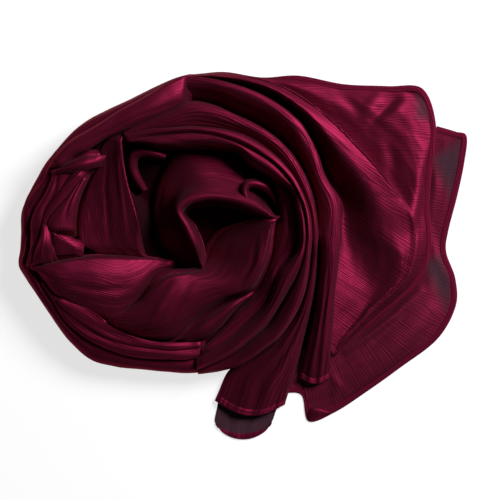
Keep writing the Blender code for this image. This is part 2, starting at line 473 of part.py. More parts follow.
def across_guides(lines, knots, count):
    """Sections that run smoothly through guide lines, which stand at the given shares of the way over."""
    sections = len(lines)
    flat = hermite(knots, lines.transpose(1, 0, 2).reshape(len(knots), -1), np.linspace(0, 1, count))
    return flat.reshape(count, sections, 3).transpose(1, 0, 2)


def under_end(sections, count):
    """A sheet on the table with one long low crease, and its hem."""
    hidden_x, hidden_y, hem_x, hem_y, crease = along_rows(UNDER_END, sections).T
    level = np.full(sections, HEM_CLOTH)
    hidden, hem_line = np.stack([hidden_x, hidden_y, level], -1), np.stack([hem_x, hem_y, level], -1)
    band = hem_band(inset(hem_line, hidden, HEM_WIDTH), hem_line)
    edge = inset(hem_line, hidden, HEM_WIDTH + HEM_GAP)
    share = np.linspace(0, 1, count)[None, :, None]
    sheet = hidden[:, None] + (edge - hidden)[:, None] * share
    sheet[..., 2] += crease[:, None] * np.exp(-((share[..., 0] - UNDER_CREASE_AT) / 0.16) ** 2)
    return sheet, band


def sheer_tail(sections, count):
    ax, ay, bx, by, bow = along_rows(SHEER_TAIL, sections).T[..., None]
    share = np.linspace(0, 1, count)
    x = ax + (bx - ax) * share
    y = ay + (by - ay) * share + bow * np.sin(math.pi * share)
    return np.stack([x, y, np.full_like(x, HEM_CLOTH)], -1)


def eye_petal(sections, count):
    """Sections over the ridge: outside foot to ridge to inside foot, rounded over the top."""
    table = along_rows(EYE_PETAL, sections)
    out, ridge, inn = table[:, 0:3], table[:, 3:6], table[:, 6:9]
    guides = np.stack([out, out * 0.45 + ridge * 0.55, ridge, inn * 0.6 + ridge * 0.4, inn], 1)
    guides[:, 1, 2] = out[:, 2] * 0.55 + ridge[:, 2] * 0.45
    guides[:, 3, 2] = inn[:, 2] * 0.5 + ridge[:, 2] * 0.5
    return across_guides(guides, [0.0, 0.32, 0.58, 0.8, 1.0], count)


def small_fold(name, sections, count):
    """An arch carried along a ridge line."""
    x, y, z, half = along_rows(RIDGES[name], sections).T
    plan = np.stack([x, y], -1)
    run = np.gradient(plan, axis=0)
    run /= np.linalg.norm(run, axis=1, keepdims=True)
    side = np.stack([-run[:, 1], run[:, 0]], -1)
    across, height = arch(count, 0.3)
    offset = (across * 2 - 1)[None, :, None] * half[:, None, None] * side[:, None]
    points_z = z[:, None] - RIDGE_DROP * (1 - height)[None, :]
    return np.concatenate([plan[:, None] + offset, points_z[..., None]], -1)


def inset(edge, inside, distance):
    """A plan line moved sideways towards the points inside, with mitred corners."""
    run = np.diff(edge[:, :2], axis=0)
    run /= np.maximum(np.linalg.norm(run, axis=1, keepdims=True), 1e-9)
    side = np.stack([-run[:, 1], run[:, 0]], -1)
    before, after = np.vstack([side[:1], side]), np.vstack([side, side[-1:]])
    mitre = before + after
    mitre /= np.maximum((mitre * before).sum(-1, keepdims=True), 0.7)
    if (mitre * (inside[:, :2] - edge[:, :2])).sum() < 0:
        mitre = -mitre
    moved = edge.copy()
    moved[:, :2] += mitre * np.reshape(distance, (-1, 1))
    return moved


def hem_band(inner, outer):
    """A hem three points wide, a little proud along its middle."""
    middle = (inner + outer) / 2
    middle[:, 2] += HEM_RISE
    return np.stack([inner, middle, outer], 1)


def hem_beyond(surface):
    """The hem that follows the last section of a stretch."""
    edge, before = surface[-1], surface[-2]
    return hem_band(inset(edge, before, -HEM_GAP), inset(edge, before, -HEM_GAP - HEM_WIDTH))


# ---- solids --------------------------------------------------------------------------------------
def material(finish):
    name, colour, roughness = finish
    found = bpy.data.materials.get(name)
    if found is None:
        found = bpy.data.materials.new(name)
        found.use_nodes = True
        shader = found.node_tree.nodes["Principled BSDF"]
        shader.inputs["Base Color"].default_value = colour
        shader.inputs["Roughness"].default_value = roughness
        shader.inputs["Metallic"].default_value = 0.0
    return found


def placed(points):
    """Lay-out millimetres to metres about the origin, with +Y away from the viewer."""
    points = np.asarray(points, float)
    out = np.empty_like(points)
    out[..., 0] = (points[..., 0] - OUTLINE_MIDDLE[0]) * MM
    out[..., 1] = (OUTLINE_MIDDLE[1] - points[..., 1]) * MM
    out[..., 2] = points[..., 2] * MM
    return out


def add_solid(name, points, faces, finish):
    mesh = bpy.data.meshes.new(name)
    mesh.from_pydata(placed(points).tolist(), [], faces)
    mesh.materials.append(material(finish))
    mesh.shade_smooth()
    mesh.set_sharp_from_angle(angle=math.radians(60))
    obj = bpy.data.objects.new(name, mesh)
    bpy.context.scene.collection.objects.link(obj)
    return obj


def grid_faces(rows, columns, first=0):
    start = first + np.arange(rows - 1)[:, None] * columns + np.arange(columns - 1)[None, :]
    return np.stack([start, start + 1, start + columns + 1, start + columns], -1).reshape(-1, 4)


def wall(name, surface, finish, thickness):
    """A closed wall of cloth: the surface on top, and the same surface moved in by the thickness below."""
    rows, columns, _ = surface.shape
    under = surface - upward(surface) * thickness
    under[..., 2] = np.maximum(under[..., 2], 0)
    size = rows * columns
    rim = np.concatenate([np.arange(columns), np.arange(1, rows) * columns + columns - 1,
                          np.arange(columns - 2, -1, -1) + (rows - 1) * columns,
                          np.arange(rows - 2, 0, -1) * columns])
    follow = np.roll(rim, -1)
    rim_faces = np.stack([follow, rim, rim + size, follow + size], -1)
    faces = np.concatenate([grid_faces(rows, columns), grid_faces(rows, columns, size)[:, ::-1], rim_faces])
    # Lay-out y runs down, so a grid that turns clockwise there turns anticlockwise once it is placed.
    a, b = rows // 2, columns // 2
    turn = np.cross(surface[a, b] - surface[a, b - 1], surface[a, b - 1] - surface[a - 1, b - 1])[2]
    if turn > 0:
        faces = faces[:, ::-1]
    points = np.concatenate([surface.reshape(-1, 3), under.reshape(-1, 3)])
    return add_solid(name, points, faces.tolist(), finish)


def core(surfaces):
    """The hidden layers: one rounded solid, flat below, everywhere a little under the cloth above it."""
    samples = np.concatenate([(s - upward(s) * CLOTH).reshape(-1, 3) for s in surfaces])
    angles = np.arange(0, 360, CORE_STEP)
    turned = np.where(angles > 272, angles - 360, angles)
    rim = radius_of("core_rim", turned)
    cell = np.hypot(np.gradient(CORE_SHARES)[None, :], CORE_SHARES[None, :] * math.radians(CORE_STEP))
    reach = (CORE_REACH + CORE_CELL_SHARE * cell * rim[:, None]).ravel()
    top = ring_points(np.repeat(angles, len(CORE_SHARES)), (rim[:, None] * CORE_SHARES[None, :]).ravel())
    plan = np.concatenate([top, [COIL_MIDDLE]])
    reach = np.append(reach, CORE_REACH + 6)
    apart = np.linalg.norm(plan[:, None] - samples[None, :, :2], axis=-1)
    near = np.where(apart < reach[:, None], samples[None, :, 2], np.inf).min(axis=1)
    z = np.maximum(np.where(np.isfinite(near), near, 9.0) - CORE_CLEARANCE, CORE_FLOOR)
    around, count = len(angles), len(CORE_SHARES)
    grid = z[:-1].reshape(around, count)
    grid[:, -1] = CORE_FLOOR
    size = around * count
    rim_plan = top.reshape(around, count, 2)[:, -1]
    points = np.vstack([np.column_stack([top, grid.ravel()]), [[*COIL_MIDDLE, z[-1]]],
                        np.column_stack([rim_plan, np.zeros(around)]), [[*COIL_MIDDLE, 0.0]]])
    faces = []
    for i in range(around):
        after = (i + 1) % around
        a, b = i * count, after * count
        for j in range(count - 1):
            faces.append((a + j, a + j + 1, b + j + 1, b + j))
        low_a, low_b = size + 1 + i, size + 1 + after
        faces.append((size, a, b))
        faces.append((a + count - 1, low_a, low_b, b + count - 1))
        faces.append((low_b, low_a, size + 1 + around))
    return add_solid("core", points, faces, SATIN)


# ---- the hijab -----------------------------------------------------------------------------------
def build():
    for obj in list(bpy.data.objects):
        bpy.data.objects.remove(obj)
    cloths = {}
    hems = {}
    for name in FOLDS:
        cloths[name] = ring_fold(name, 13 if name in RIMS else 7)
    for name, rows in PANELS.items():
        cloths[name] = panel_surface(rows, 2 * len(rows) + 1, 9)
    cloths["petal_eye"] = eye_petal(17, 11)
    for name in RIDGES:
        cloths[name] = small_fold(name, 9, 6)
    cloths["strand"] = turn_and_end(STRAND_TURN, STRAND_END, 2, 9)
    cloths["tail_left"] = turn_and_end(TAIL_TURN, TAIL_END, 2, 11)
    cloths["tail_sheer"] = sheer_tail(6, 10)
    for name in ("strand", "tail_left", "tail_sheer"):
        hems["hem_" + name] = hem_beyond(cloths[name])
    cloths["end_broad"], hems["hem_end_broad"] = broad_end(27, 1)
    cloths["end_under"], hems["hem_end_under"] = under_end(28, 8)
    for name, surface in cloths.items():
        single = name in ("end_under", "tail_sheer")
        wall(name, surface, SHEER if single else SATIN, HEM_CLOTH if single else CLOTH)
    for name, surface in hems.items():
        wall(name, surface, THREAD, HEM_CLOTH)
    core([*cloths.values(), *hems.values()])


build()
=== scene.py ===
"""Looks of the satin hijab: every stretch of cloth again, fine enough to carry its creases, in satin.

Lay-out sizes are in millimetres, as in the solids' own tables: x to the right, y towards the foot, z up.
Everything is placed in metres, with the origin under the middle of the outline.
"""

import math

import bpy
import numpy as np
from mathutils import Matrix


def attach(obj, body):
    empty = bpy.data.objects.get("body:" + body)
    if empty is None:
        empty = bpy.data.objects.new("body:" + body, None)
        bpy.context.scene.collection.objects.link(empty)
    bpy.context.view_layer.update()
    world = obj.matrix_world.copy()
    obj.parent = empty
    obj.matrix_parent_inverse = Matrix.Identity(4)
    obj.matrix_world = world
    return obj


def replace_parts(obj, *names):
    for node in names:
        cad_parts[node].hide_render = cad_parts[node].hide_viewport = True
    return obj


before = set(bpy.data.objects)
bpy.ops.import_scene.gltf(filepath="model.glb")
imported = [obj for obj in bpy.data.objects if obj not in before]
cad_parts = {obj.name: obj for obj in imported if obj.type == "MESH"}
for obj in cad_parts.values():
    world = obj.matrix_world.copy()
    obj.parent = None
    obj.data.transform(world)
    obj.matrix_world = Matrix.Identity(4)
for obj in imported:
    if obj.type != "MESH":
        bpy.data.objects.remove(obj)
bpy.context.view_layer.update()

MM = 0.001

# The middle of the outline, over the origin, and the middle of the coil, in lay-out millimetres.
OUTLINE_MIDDLE = (243.765, 256.847)
COIL_MIDDLE = (190.0, 235.0)

OVERLAP = 1.2  # stretches that lie side by side overlap by twice this
ON_TABLE = 1.0  # height of a single layer that lies on the table
HEM_WIDTH = 6.0
HEM_SHARE = 0.3  # where the cloth is narrow, its hem takes this share of it at most
UNDER_HEM = 1.0  # how far the cloth runs on under its hem
HEM_RISE, HEM_PROUD, HEM_POWER = 0.2, 0.25, 0.4  # its band over the cloth, in mm, and how full that is
HEM_WIDTHS = {"strand": 5.0, "tail_left": 5.5, "tail_sheer": 5.0}  # of the ends that run off the coil

# Lines between neighbouring stretches of the coil: angle about its middle, from the right and
# anticlockwise as seen from above, in degrees, and radius in millimetres.
LINES = {
    "outline": [
        (90, 160.5), (95, 157.5), (100, 154), (105, 151), (110, 149), (115, 148), (120, 148.5), (125, 150),
        (130, 152.5), (135, 154.5), (145, 157), (155, 161), (165, 164.5), (171, 169), (180, 168.5),
        (185, 170), (190, 173.5), (195, 169), (200, 165), (210, 160.5), (222, 161), (233, 158.5),
        (240, 151.6), (250, 143), (260, 139), (270, 138), (287, 137)],
    "rim_top": [
        (90, 158.6), (92, 157), (100, 150.5), (105, 146), (110, 143), (120, 141), (130, 142), (135, 145),
        (140, 149), (145, 152.5), (152, 155.5)],
    "band_top_inner": [
        (91, 131.5), (97, 126), (105, 122), (115, 121), (125, 124), (130, 127), (135, 129.5), (140, 132.5),
        (145, 139.5), (152, 144)],
    "left_1": [
        (150, 145.5), (155, 147.5), (160, 147.5), (165, 149.5), (170, 154.5), (175, 157.5), (180, 157),
        (185, 158.5), (191, 165)],
    "left_2": [
        (149, 127), (155, 132), (160, 134), (165, 138), (170, 143), (175, 146), (180, 147.5), (185, 153),
        (191, 162)],
    "left_3": [
        (149, 121), (155, 122), (160, 124.5), (165, 127.5), (170, 134), (175, 139.5), (180, 137), (185, 135),
        (191, 134)],
    "left_4": [(149, 116), (160, 116), (170, 115), (178, 114), (185, 113.5)],
    "rim_bottom": [
        (191, 160.5), (196, 156.6), (200, 153), (205, 150.5), (215, 149.5), (220, 147), (230, 142),
        (240, 136), (250, 130), (260, 125), (270, 123), (276, 121)],
    "band_mid": [
        (198, 152.3), (203, 148.7), (210, 144.5), (215, 141), (220, 137), (230, 131), (240, 125),
        (250, 118.5), (260, 115), (270, 112.5), (275, 111)],
    "band_inner": [
        (206, 144), (210, 136), (213, 130), (220, 123), (230, 121), (240, 117), (250, 113.5), (260, 110),
        (268, 108)],
    "strand_outer": [
        (-3, 149.2), (5, 150), (12, 151.5), (16, 150.5), (20, 147.5), (25, 146.5), (30, 148.5), (35, 151),
        (40, 153.5), (45, 156), (50, 156.5), (60, 156), (70, 155.5), (80, 155.6), (91, 156.4)],
    "turn_a_outer": [
        (-3, 127), (10, 126.5), (20, 127.5), (30, 128.5), (40, 129), (50, 128.5), (60, 127), (70, 127),
        (80, 130.5), (87, 132), (92, 130.5), (97, 125.5), (105, 121.5), (115, 120.5), (124, 120)],
    "turn_b_outer": [
        (-84, 138.2), (-80, 138.3), (-75, 138.4), (-70, 139.2), (-63, 136.6), (-56, 135), (-50, 134.6),
        (-40, 131.5), (-30, 128), (-20, 124), (-10, 120.8), (0, 121), (10, 121), (20, 119.5), (30, 118),
        (45, 115), (62, 112), (70, 109.5), (80, 107.5), (100, 107.5), (115, 113), (124, 117.5)],
    "turn_c_outer": [
        (-89, 137.4), (-85, 134), (-80, 130.5), (-70, 125), (-60, 120), (-50, 117), (-40, 113), (-28, 111.5),
        (-20, 113), (-10, 115.5), (5, 116.5), (20, 116), (27, 114.5), (33, 112), (40, 109), (50, 104.5),
        (60, 102), (75, 101.5), (95, 102), (105, 103), (115, 107), (124, 114)],
    "turn_c_inner": [
        (-89, 124), (-80, 116), (-70, 111.5), (-60, 107), (-50, 104), (-40, 101.5), (-30, 97), (-22, 96.5),
        (-15, 101.5), (-8, 108), (5, 109), (15, 109), (21, 110.5), (26, 107.5), (30, 103), (40, 95),
        (50, 91), (60, 95.5), (70, 90), (80, 87.5), (100, 87), (110, 92.5), (117, 102), (124, 111)],
    "core_rim": [
        (-88, 126), (-80, 121), (-73, 130), (-65, 139), (-58, 147), (-50, 155.5), (-46, 160), (-42, 163),
        (-34, 166), (-26, 172), (-18, 181), (-12, 188), (-6, 194), (0, 198), (6, 200), (12, 195), (18, 185),
        (24, 178), (30, 173), (36, 169), (42, 167), (48, 164), (54, 161), (60, 157), (70, 151), (80, 147),
        (90, 145), (105, 139), (120, 138), (135, 144), (150, 148.5), (165, 153.5), (180, 157.5), (192, 158),
        (200, 152), (210, 148), (222, 148.5), (235, 144.5), (250, 131), (262, 126.5), (272, 126)],
    "well_edge": [
        (-82, 112), (-75, 104), (-68, 97.5), (-60, 91), (-50, 88.5), (-40, 88), (-30, 86.5), (-15, 84.5),
        (0, 85), (10, 89.5), (20, 95), (27, 97), (36, 96.5)],
}

# Folds of the coil: outer line, inner line, the angles where the fold begins and ends, and its cross
# sections: angle; heights of the outer foot, of the crest and of the inner foot; where the crest stands
# between the two feet; and how hollow the inner side falls (1, which is round, where it isn't given).
FOLDS = {
    "rim_top_left": ("outline", "rim_top", (90.1, 151.5), [
        (90, 0, 36, 27, 0.5), (120, 0, 38, 30, 0.5), (152, 0, 36, 28, 0.5)]),
    "band_top_left": ("rim_top", "band_top_inner", (92.2, 151.5), [
        (90, 37, 43, 22, 0.45), (100, 38, 50, 30, 0.5), (125, 39, 52, 36, 0.5), (152, 38, 49, 38, 0.5)]),
    "rim_left": ("outline", "left_1", (151.64, 190.25), [
        (150, 0, 38, 29, 0.5), (170, 0, 34, 26, 0.5), (191, 0, 32, 22, 0.5)]),
    "fold_left_1": ("left_1", "left_2", (151.64, 189.8), [
        (150, 36, 46, 40, 0.5), (170, 34, 44, 38, 0.5), (191, 31, 41, 35, 0.5)]),
    "fold_left_2": ("left_2", "left_3", (151.64, 176.2), [
        (150, 41, 50, 42, 0.5), (176, 39, 48, 40, 0.5)]),
    "knot_left": ("left_2", "left_3", (176.4, 190.2), [
        (176, 36, 49, 38, 0.5), (184, 34, 52, 36, 0.5), (191, 30, 44, 34, 0.5)]),
    "fold_left_3": ("left_3", "left_4", (151.64, 177.5), [
        (149, 40, 48, 36, 0.5), (165, 40, 53, 34, 0.45), (178, 38, 52, 32, 0.3)]),
    "rim_bottom": ("outline", "rim_bottom", (190.7, 272.8), [
        (190, 0, 34, 26, 0.5), (215, 0, 31, 23, 0.5), (250, 0, 27, 19, 0.5), (265, 0, 25.5, 18, 0.5),
        (276, 0, 25, 17, 0.5)]),
    "band_bottom": ("rim_bottom", "band_mid", (198.5, 275.5), [
        (198, 33, 37, 35, 0.5), (203, 32, 37, 36, 0.55), (215, 30, 36.5, 35.5, 0.55),
        (250, 27, 33.5, 33, 0.55), (264, 26, 32, 31, 0.5), (275, 23, 29, 28, 0.5)]),
    "band_inner": ("band_mid", "band_inner", (206.5, 275), [
        (206, 36, 39, 37, 0.5), (220, 35, 38.5, 38, 0.55), (250, 33, 36, 35, 0.55), (262, 32, 35, 34, 0.5),
        (271, 29, 32, 31, 0.5)]),
    "turn_b": ("turn_b_outer", "turn_c_outer", (-83.5, 123), [
        (-84, 0.6, 23, 12, 0.5, 1), (-76, 1.2, 25, 13, 0.47, 1), (-70, 5, 28, 15, 0.45, 1.2),
        (-60, 14, 36, 20, 0.36, 1.6), (-45, 22, 46, 22, 0.3, 2.4), (-30, 30, 55, 30, 0.34, 2.2),
        (-15, 36, 60, 44, 0.42, 1.6), (0, 42, 62, 48, 0.5, 1.4), (20, 45, 62, 49, 0.5, 1.4),
        (60, 43, 58, 45, 0.4, 1.4), (100, 42, 54, 43, 0.45, 1.2), (124, 40, 47, 41, 0.5, 1)]),
    "turn_c": ("turn_c_outer", "turn_c_inner", (-83.8, 123), [
        (-89, 0.4, 31, 22, 0.5, 1), (-80, 6, 35, 22, 0.5, 1.2), (-60, 18, 44, 26, 0.5, 1.5),
        (-40, 24, 53, 29, 0.4, 1.9), (-25, 32, 58, 30, 0.4, 1.8), (0, 48, 60, 33, 0.45, 1.5),
        (21, 49, 58, 35, 0.5, 1.5), (35, 46, 59, 31, 0.4, 1.7), (55, 42, 57, 29, 0.35, 1.8),
        (90, 42, 54, 28, 0.4, 1.6), (110, 42, 52, 32, 0.45, 1.3), (124, 40, 47, 38, 0.5, 1)]),
    "turn_inner": ("turn_c_inner", "well_edge", (-80.8, 34), [
        (-86, 24, 33, 22, 0.4), (-60, 24, 34, 18, 0.4), (-30, 26, 38, 18, 0.35), (0, 28, 42, 20, 0.4),
        (20, 30, 42, 20, 0.4), (36, 26, 36, 24, 0.4)]),
}
ROUND = 1.0  # the fall of an inner side that is round

# The rims lie on the table as a stack of folded layers. Their cross section, from the table up and
# over: share of the width, and share of the height.
RIMS = ("rim_top_left", "rim_left", "rim_bottom")
RIM_SECTION = [
    (0.14, 0), (0.06, 0.08), (0.05, 0.2), (0.15, 0.28), (0.05, 0.36), (0.04, 0.46), (0.13, 0.54), (0, 0.66),
    (0.05, 0.78), (0.22, 0.92), (0.5, 1), (0.82, 1), (1, 0.96)]

# Two turns run on out of the coil at its foot and end in a hem. First the turn, as a fold. Then its end,
# one cross section in a row: outer foot x, y, z; height of the crest; inner foot x, y, z; where the crest
# stands; how far the section bows towards the hem; and how high its pleats stand.
STRAND_TURN = ("strand_outer", "turn_a_outer", (0, 91.5), [
    (0, 26, 43, 26, 0.4, 1.2), (15, 24, 45, 22, 0.34, 1.8), (30, 24, 46, 18, 0.28, 2.6),
    (45, 26, 47, 14, 0.22, 3.4), (60, 28, 45, 12, 0.18, 4), (80, 30, 42, 12, 0.17, 4.4),
    (92, 31, 38, 14, 0.2, 4)])
TAIL_TURN = ("turn_a_outer", "turn_b_outer", (0, 123), [
    (0, 30, 52, 43, 0.45, 1.3), (20, 28, 56, 44, 0.4, 1.6), (45, 24, 56, 42, 0.32, 1.8),
    (80, 22, 54, 40, 0.36, 1.5), (105, 32, 50, 41, 0.45, 1.2), (124, 38, 46, 42, 0.5, 1)])
STRAND_END = [
    (339, 252, 22, 42, 319.2, 250, 25, 0.4, 0, 0),
    (337.5, 272, 19, 39, 318.8, 270, 22, 0.42, 0, 0.4),
    (335, 294, 16, 35, 316.8, 290, 18, 0.45, 0, 0.8),
    (333.3, 320, 12, 29, 313, 315, 14, 0.48, 0, 1),
    (331.5, 345, 9, 23, 308, 340, 10, 0.5, 1, 1.2),
    (330.8, 360, 7, 17, 304, 357, 7.5, 0.5, 2, 1.2),
    (330, 373, 4.5, 9, 300.8, 373, 4.5, 0.5, 6, 0.8)]
TAIL_END = [
    (317, 248, 35, 50, 311.8, 250, 40, 0.48, 0, 0),
    (316.2, 266, 28, 46, 309.8, 264, 34, 0.5, 0, 0),
    (314.5, 286, 22, 41, 306.5, 283, 27, 0.5, 0, 0.2),
    (311, 308, 16, 36, 300.3, 303.5, 21, 0.5, 0, 0.5),
    (305.5, 330, 12, 30, 289.2, 323.6, 15, 0.48, 1, 0.9),
    (300.5, 351, 9, 25, 271.2, 344.4, 10, 0.44, 2, 1.3),
    (295.5, 369, 7, 20, 248.8, 360.6, 7, 0.42, 4, 1.6),
    (290.5, 386, 2.6, 15, 228.8, 370.4, 2.6, 0.42, 7, 1.6),
    (286.5, 400, 1.5, 8, 216.8, 396, 1.5, 0.45, 13, 1)]
PLEATS = 3

# Stretches laid between two edges in plan. Each row: near edge x, y, z; far edge x, y, z; how far the
# middle stands above the straight line between them; and how far each edge rolls under.
PANELS = {
    "leaf_small": [
        (98, 156.5, 46, 93, 169.5, 44, 4, 8, 8),
        (86, 157, 48, 84, 173, 45, 5, 8, 8),
        (73, 161.5, 48, 73, 174.5, 46, 4, 8, 8),
        (61, 168.5, 47, 63, 174.5, 46, 2, 6, 6)],
    "tuck_left": [
        (56, 232, 50, 57.5, 256.5, 42, 1, 7, 4),
        (62, 236.5, 49, 62, 256.3, 42, 1, 7, 4),
        (68.5, 241, 47, 68, 255.6, 41, 1, 6, 3),
        (75.5, 245.8, 44, 74.5, 254.8, 40, 1, 4, 2)],
    "panel_left": [
        (107.5, 139.5, 38, 122, 142, 46, 1, 4, 0.6),
        (99.5, 152, 36, 123, 154, 46, 0, 4, 0.6),
        (96.5, 168, 34, 125, 169, 46, 0, 4, 0.6),
        (88, 186, 32, 129, 188, 46, 0, 4, 0.6),
        (80.5, 206, 31, 134.5, 207, 45, 0, 4, 0.6),
        (78, 226, 32, 139.5, 228, 41, 0, 4, 0.6),
        (79, 243.5, 32, 143, 246, 34, 0, 4, 12),
        (92, 250.3, 30, 144.5, 253.5, 29, 0, 3, 10)],
    "petal_left": [
        (38.5, 266.5, 41, 38.5, 271.5, 40, 1, 6, 5),
        (49, 263, 44, 46, 281.5, 40, 3, 8, 5),
        (62, 260, 45, 57.5, 295, 39.5, 5, 12, 4),
        (78, 256.5, 44, 76, 306, 37.5, 6, 14, 4),
        (100, 254.5, 42, 97, 315.5, 34, 7, 14, 4),
        (122, 255, 38, 116, 321, 27, 8, 14, 4),
        (143, 256.5, 31, 136, 306, 22, 7, 12, 5),
        (158, 258.5, 22, 153, 280, 18, 4, 8, 5),
        (168, 261, 14, 165.5, 270.5, 12, 2, 3, 3)],
    "petal_front": [
        (262, 219.5, 46, 272.5, 222, 50, 0, 3, 16),
        (226, 230, 17, 271.5, 236, 52, 3, 2, 18),
        (213, 245, 13, 268.5, 254, 52, 5, 2, 18),
        (208, 259, 16, 262, 273, 50, 5, 3, 18),
        (199, 270, 27, 250.5, 290, 45, 4, 6, 16),
        (182, 272.5, 36, 224, 300, 37, 4, 12, 10),
        (166, 275, 38, 199, 317.5, 30, 8, 14, 8),
        (153, 284.5, 37, 173.5, 338.5, 27, 9, 12, 6),
        (139, 300.5, 34, 142, 338, 27, 7, 10, 6),
        (124, 311, 32, 117, 329.5, 27, 4, 6, 6),
        (112, 312.5, 31, 106.5, 320.5, 28, 1, 4, 4)],
    "fold_front": [
        (246.5, 295, 31, 248, 298.6, 30, 1, 6, 6),
        (231, 302, 33, 234.5, 311.5, 28, 4, 8, 8),
        (214, 312.5, 32, 219.5, 328.5, 27, 5, 8, 8),
        (200, 324, 31, 205, 338.5, 26, 5, 8, 8),
        (187, 335, 28, 190.5, 341.5, 26, 2, 6, 6)],
}
# The corner of the end at the foot, turned over: a small flap with its rolled edge up, in the same columns.
CORNER_FLAP = [
    (308.7, 417, 2.6, 309.8, 421.6, 2, 0.3, 0.6, 0.4), (309.4, 411.5, 3.4, 315, 419.8, 2.4, 1.2, 1, 0.4),
    (312.5, 407.8, 3.8, 320.5, 417.2, 2.6, 1.8, 1.4, 0.4), (320.5, 408.8, 3.6, 326, 415, 2.6, 1.4, 1.2, 0.4),
    (328.5, 412.2, 2.8, 330.5, 413.6, 2.2, 0.3, 0.5, 0.4)]
ROLL_WIDTH, FLAP_ROLL_WIDTH = 0.09, 0.25  # share of the width that each rolled edge takes

# The broad end at the right. Each section runs from the strand's side over a long roll and out to the
# hem: strand side x, y, z; edge of the roll x, y, and the roll's height; level of the deep crease behind
# the roll; where the cloth behind it swells, as a share of the way to the hem, and how high; hem x, y, z.
BROAD_END = [
    (190.4, 77.9, 29, 190.4, 75.9, 34, 16, 0.5, 9, 190.4, 74.3, 1.6),
    (217, 80.5, 27, 221, 75.6, 41, 14, 0.5, 8, 224, 71.3, 1.5),
    (243.5, 87.5, 24, 257, 79.5, 45, 10, 0.5, 6, 262, 76.8, 1.5),
    (269, 98.5, 20, 291, 91, 46, 5, 0.5, 6, 299, 75, 1.5),
    (292, 113.5, 16, 325, 115, 45, 4, 0.5, 6, 344, 83.5, 1.6),
    (308.5, 135.5, 13, 352, 141, 42, 4, 0.52, 7, 388, 85.5, 1.8),
    (320, 160.5, 11, 378, 168.5, 36, 4, 0.55, 7.5, 423, 88, 2.4),
    (329.5, 184.5, 9, 398, 193, 27, 7, 0.5, 8, 436.5, 124, 3.4),
    (338, 206, 12, 410, 213, 18, 13, 0.5, 9.5, 432.5, 168, 3.4),
    (337, 235, 10.5, 414, 232, 13, 11.5, 0.5, 8, 430, 208, 3.4),
    (336, 264, 10, 412, 256.5, 12.5, 12, 0.5, 8.5, 432, 246, 3.4),
    (333.5, 292, 10.5, 401, 282, 11.5, 11, 0.5, 8, 418.5, 283, 3.6),
    (331.5, 320, 10.5, 370, 311, 9, 8.7, 0.5, 7, 381, 316.5, 3.8),
    (330, 345, 9.5, 344.5, 338, 8.5, 8, 0.5, 7, 350, 342, 4.2),
    (333, 355, 7.5, 335.2, 353.5, 7, 6.8, 0.5, 6.2, 338.5, 353.5, 4.8)]
# The valley beside the roll and the roll's top, for the same sections: where each stands, as a share of
# the way from the strand's side to the roll's edge, and its height.
ROLL = [
    (0.3, 31, 0.6, 33.5), (0.3, 34, 0.6, 40), (0.3, 35, 0.6, 44.5), (0.28, 34, 0.55, 46),
    (0.25, 34, 0.5, 46.5), (0.22, 32, 0.5, 44), (0.2, 25, 0.53, 38.5), (0.15, 13, 0.56, 31),
    (0.12, 7, 0.56, 25), (0.16, 5.5, 0.62, 18.5), (0.3, 5, 0.84, 14.5), (0.55, 5, 0.92, 12),
    (0.75, 5.5, 0.92, 9.5), (0.75, 7, 0.92, 8), (0.7, 7, 0.9, 7)]
GUIDES_AT = (0.0, 0.2, 0.4, 0.52, 0.58, 0.63, 0.69, 0.85, 1.0)  # its guide lines, as shares of the way over
BROAD_SPANS = (2, 2, 2, 1, 1, 1, 3, 3)  # and how finely each span between them is stepped
ROLL_ROUND, ROLL_ROUND_SHARE = 4.0, 0.22  # mm that its edge is rounded, and the most of the way to the hem
# How far three guides stand below the roll's top, or above the crease: mm at most, and share of the drop.
SHOULDER, ROLL_SIDE, ROLL_UNDER = (4.0, 0.25), (7.5, 0.45), (3.0, 0.25)
FULL_DROP = 25.0  # a drop from which the roll's edge turns fully under itself
# Where the last two of its guides stand behind the edge, as shares of the rounding: with no drop, and how
# much less at the full drop.
UNDERCUTS = (0.15, 0.6), (0.8, 1.0)

# The other end, single and lying on the table under the broad one: hidden edge x, y; hem edge x, y;
# height of the long soft crease that crosses it.
UNDER_END = [
    (421, 131, 437.5, 125.5, 0),
    (417, 142, 456, 131, 0),
    (415, 152, 467.5, 136, 0),
    (412, 168, 465, 163, 0),
    (409, 190, 458, 196, 0),
    (405, 215, 449, 231, 0.2),
    (400, 238, 447, 252, 0.8),
    (391, 258, 456.2, 279, 1.6),
    (380, 276, 456.3, 307, 2.6),
    (366, 294, 438, 339.5, 3),
    (349, 312, 401, 368, 3),
    (331, 330, 367, 392.3, 2.6),
    (313, 347, 335, 413, 1.6),
    (299.5, 355, 308.6, 422, 0.6),
    (290.5, 357.5, 301.5, 396, 0.2),
    (280, 361, 283, 393.5, 0)]
UNDER_CREASE_AT, UNDER_CREASE_WIDTH = 0.64, 0.16  # shares of the way from the hidden edge to the hem
HIDDEN_STEPS = (18.0, 12.0, 6.0)  # how far it runs on beyond its hidden edge, in mm

# The sheer layer under the left tail, single cloth on the table: left x, y; right x, y; bow.
SHEER_TAIL = [
    (226, 384, 285, 388, 6),
    (219.5, 396, 283, 399.5, 8),
    (216.5, 410, 276.5, 410.5, 9),
    (214.4, 421, 273.4, 419.5, 10.5),
    (216.5, 425, 271, 423.5, 11)]
BOW_POWER = 0.6  # under 1, the bow is fuller at its sides

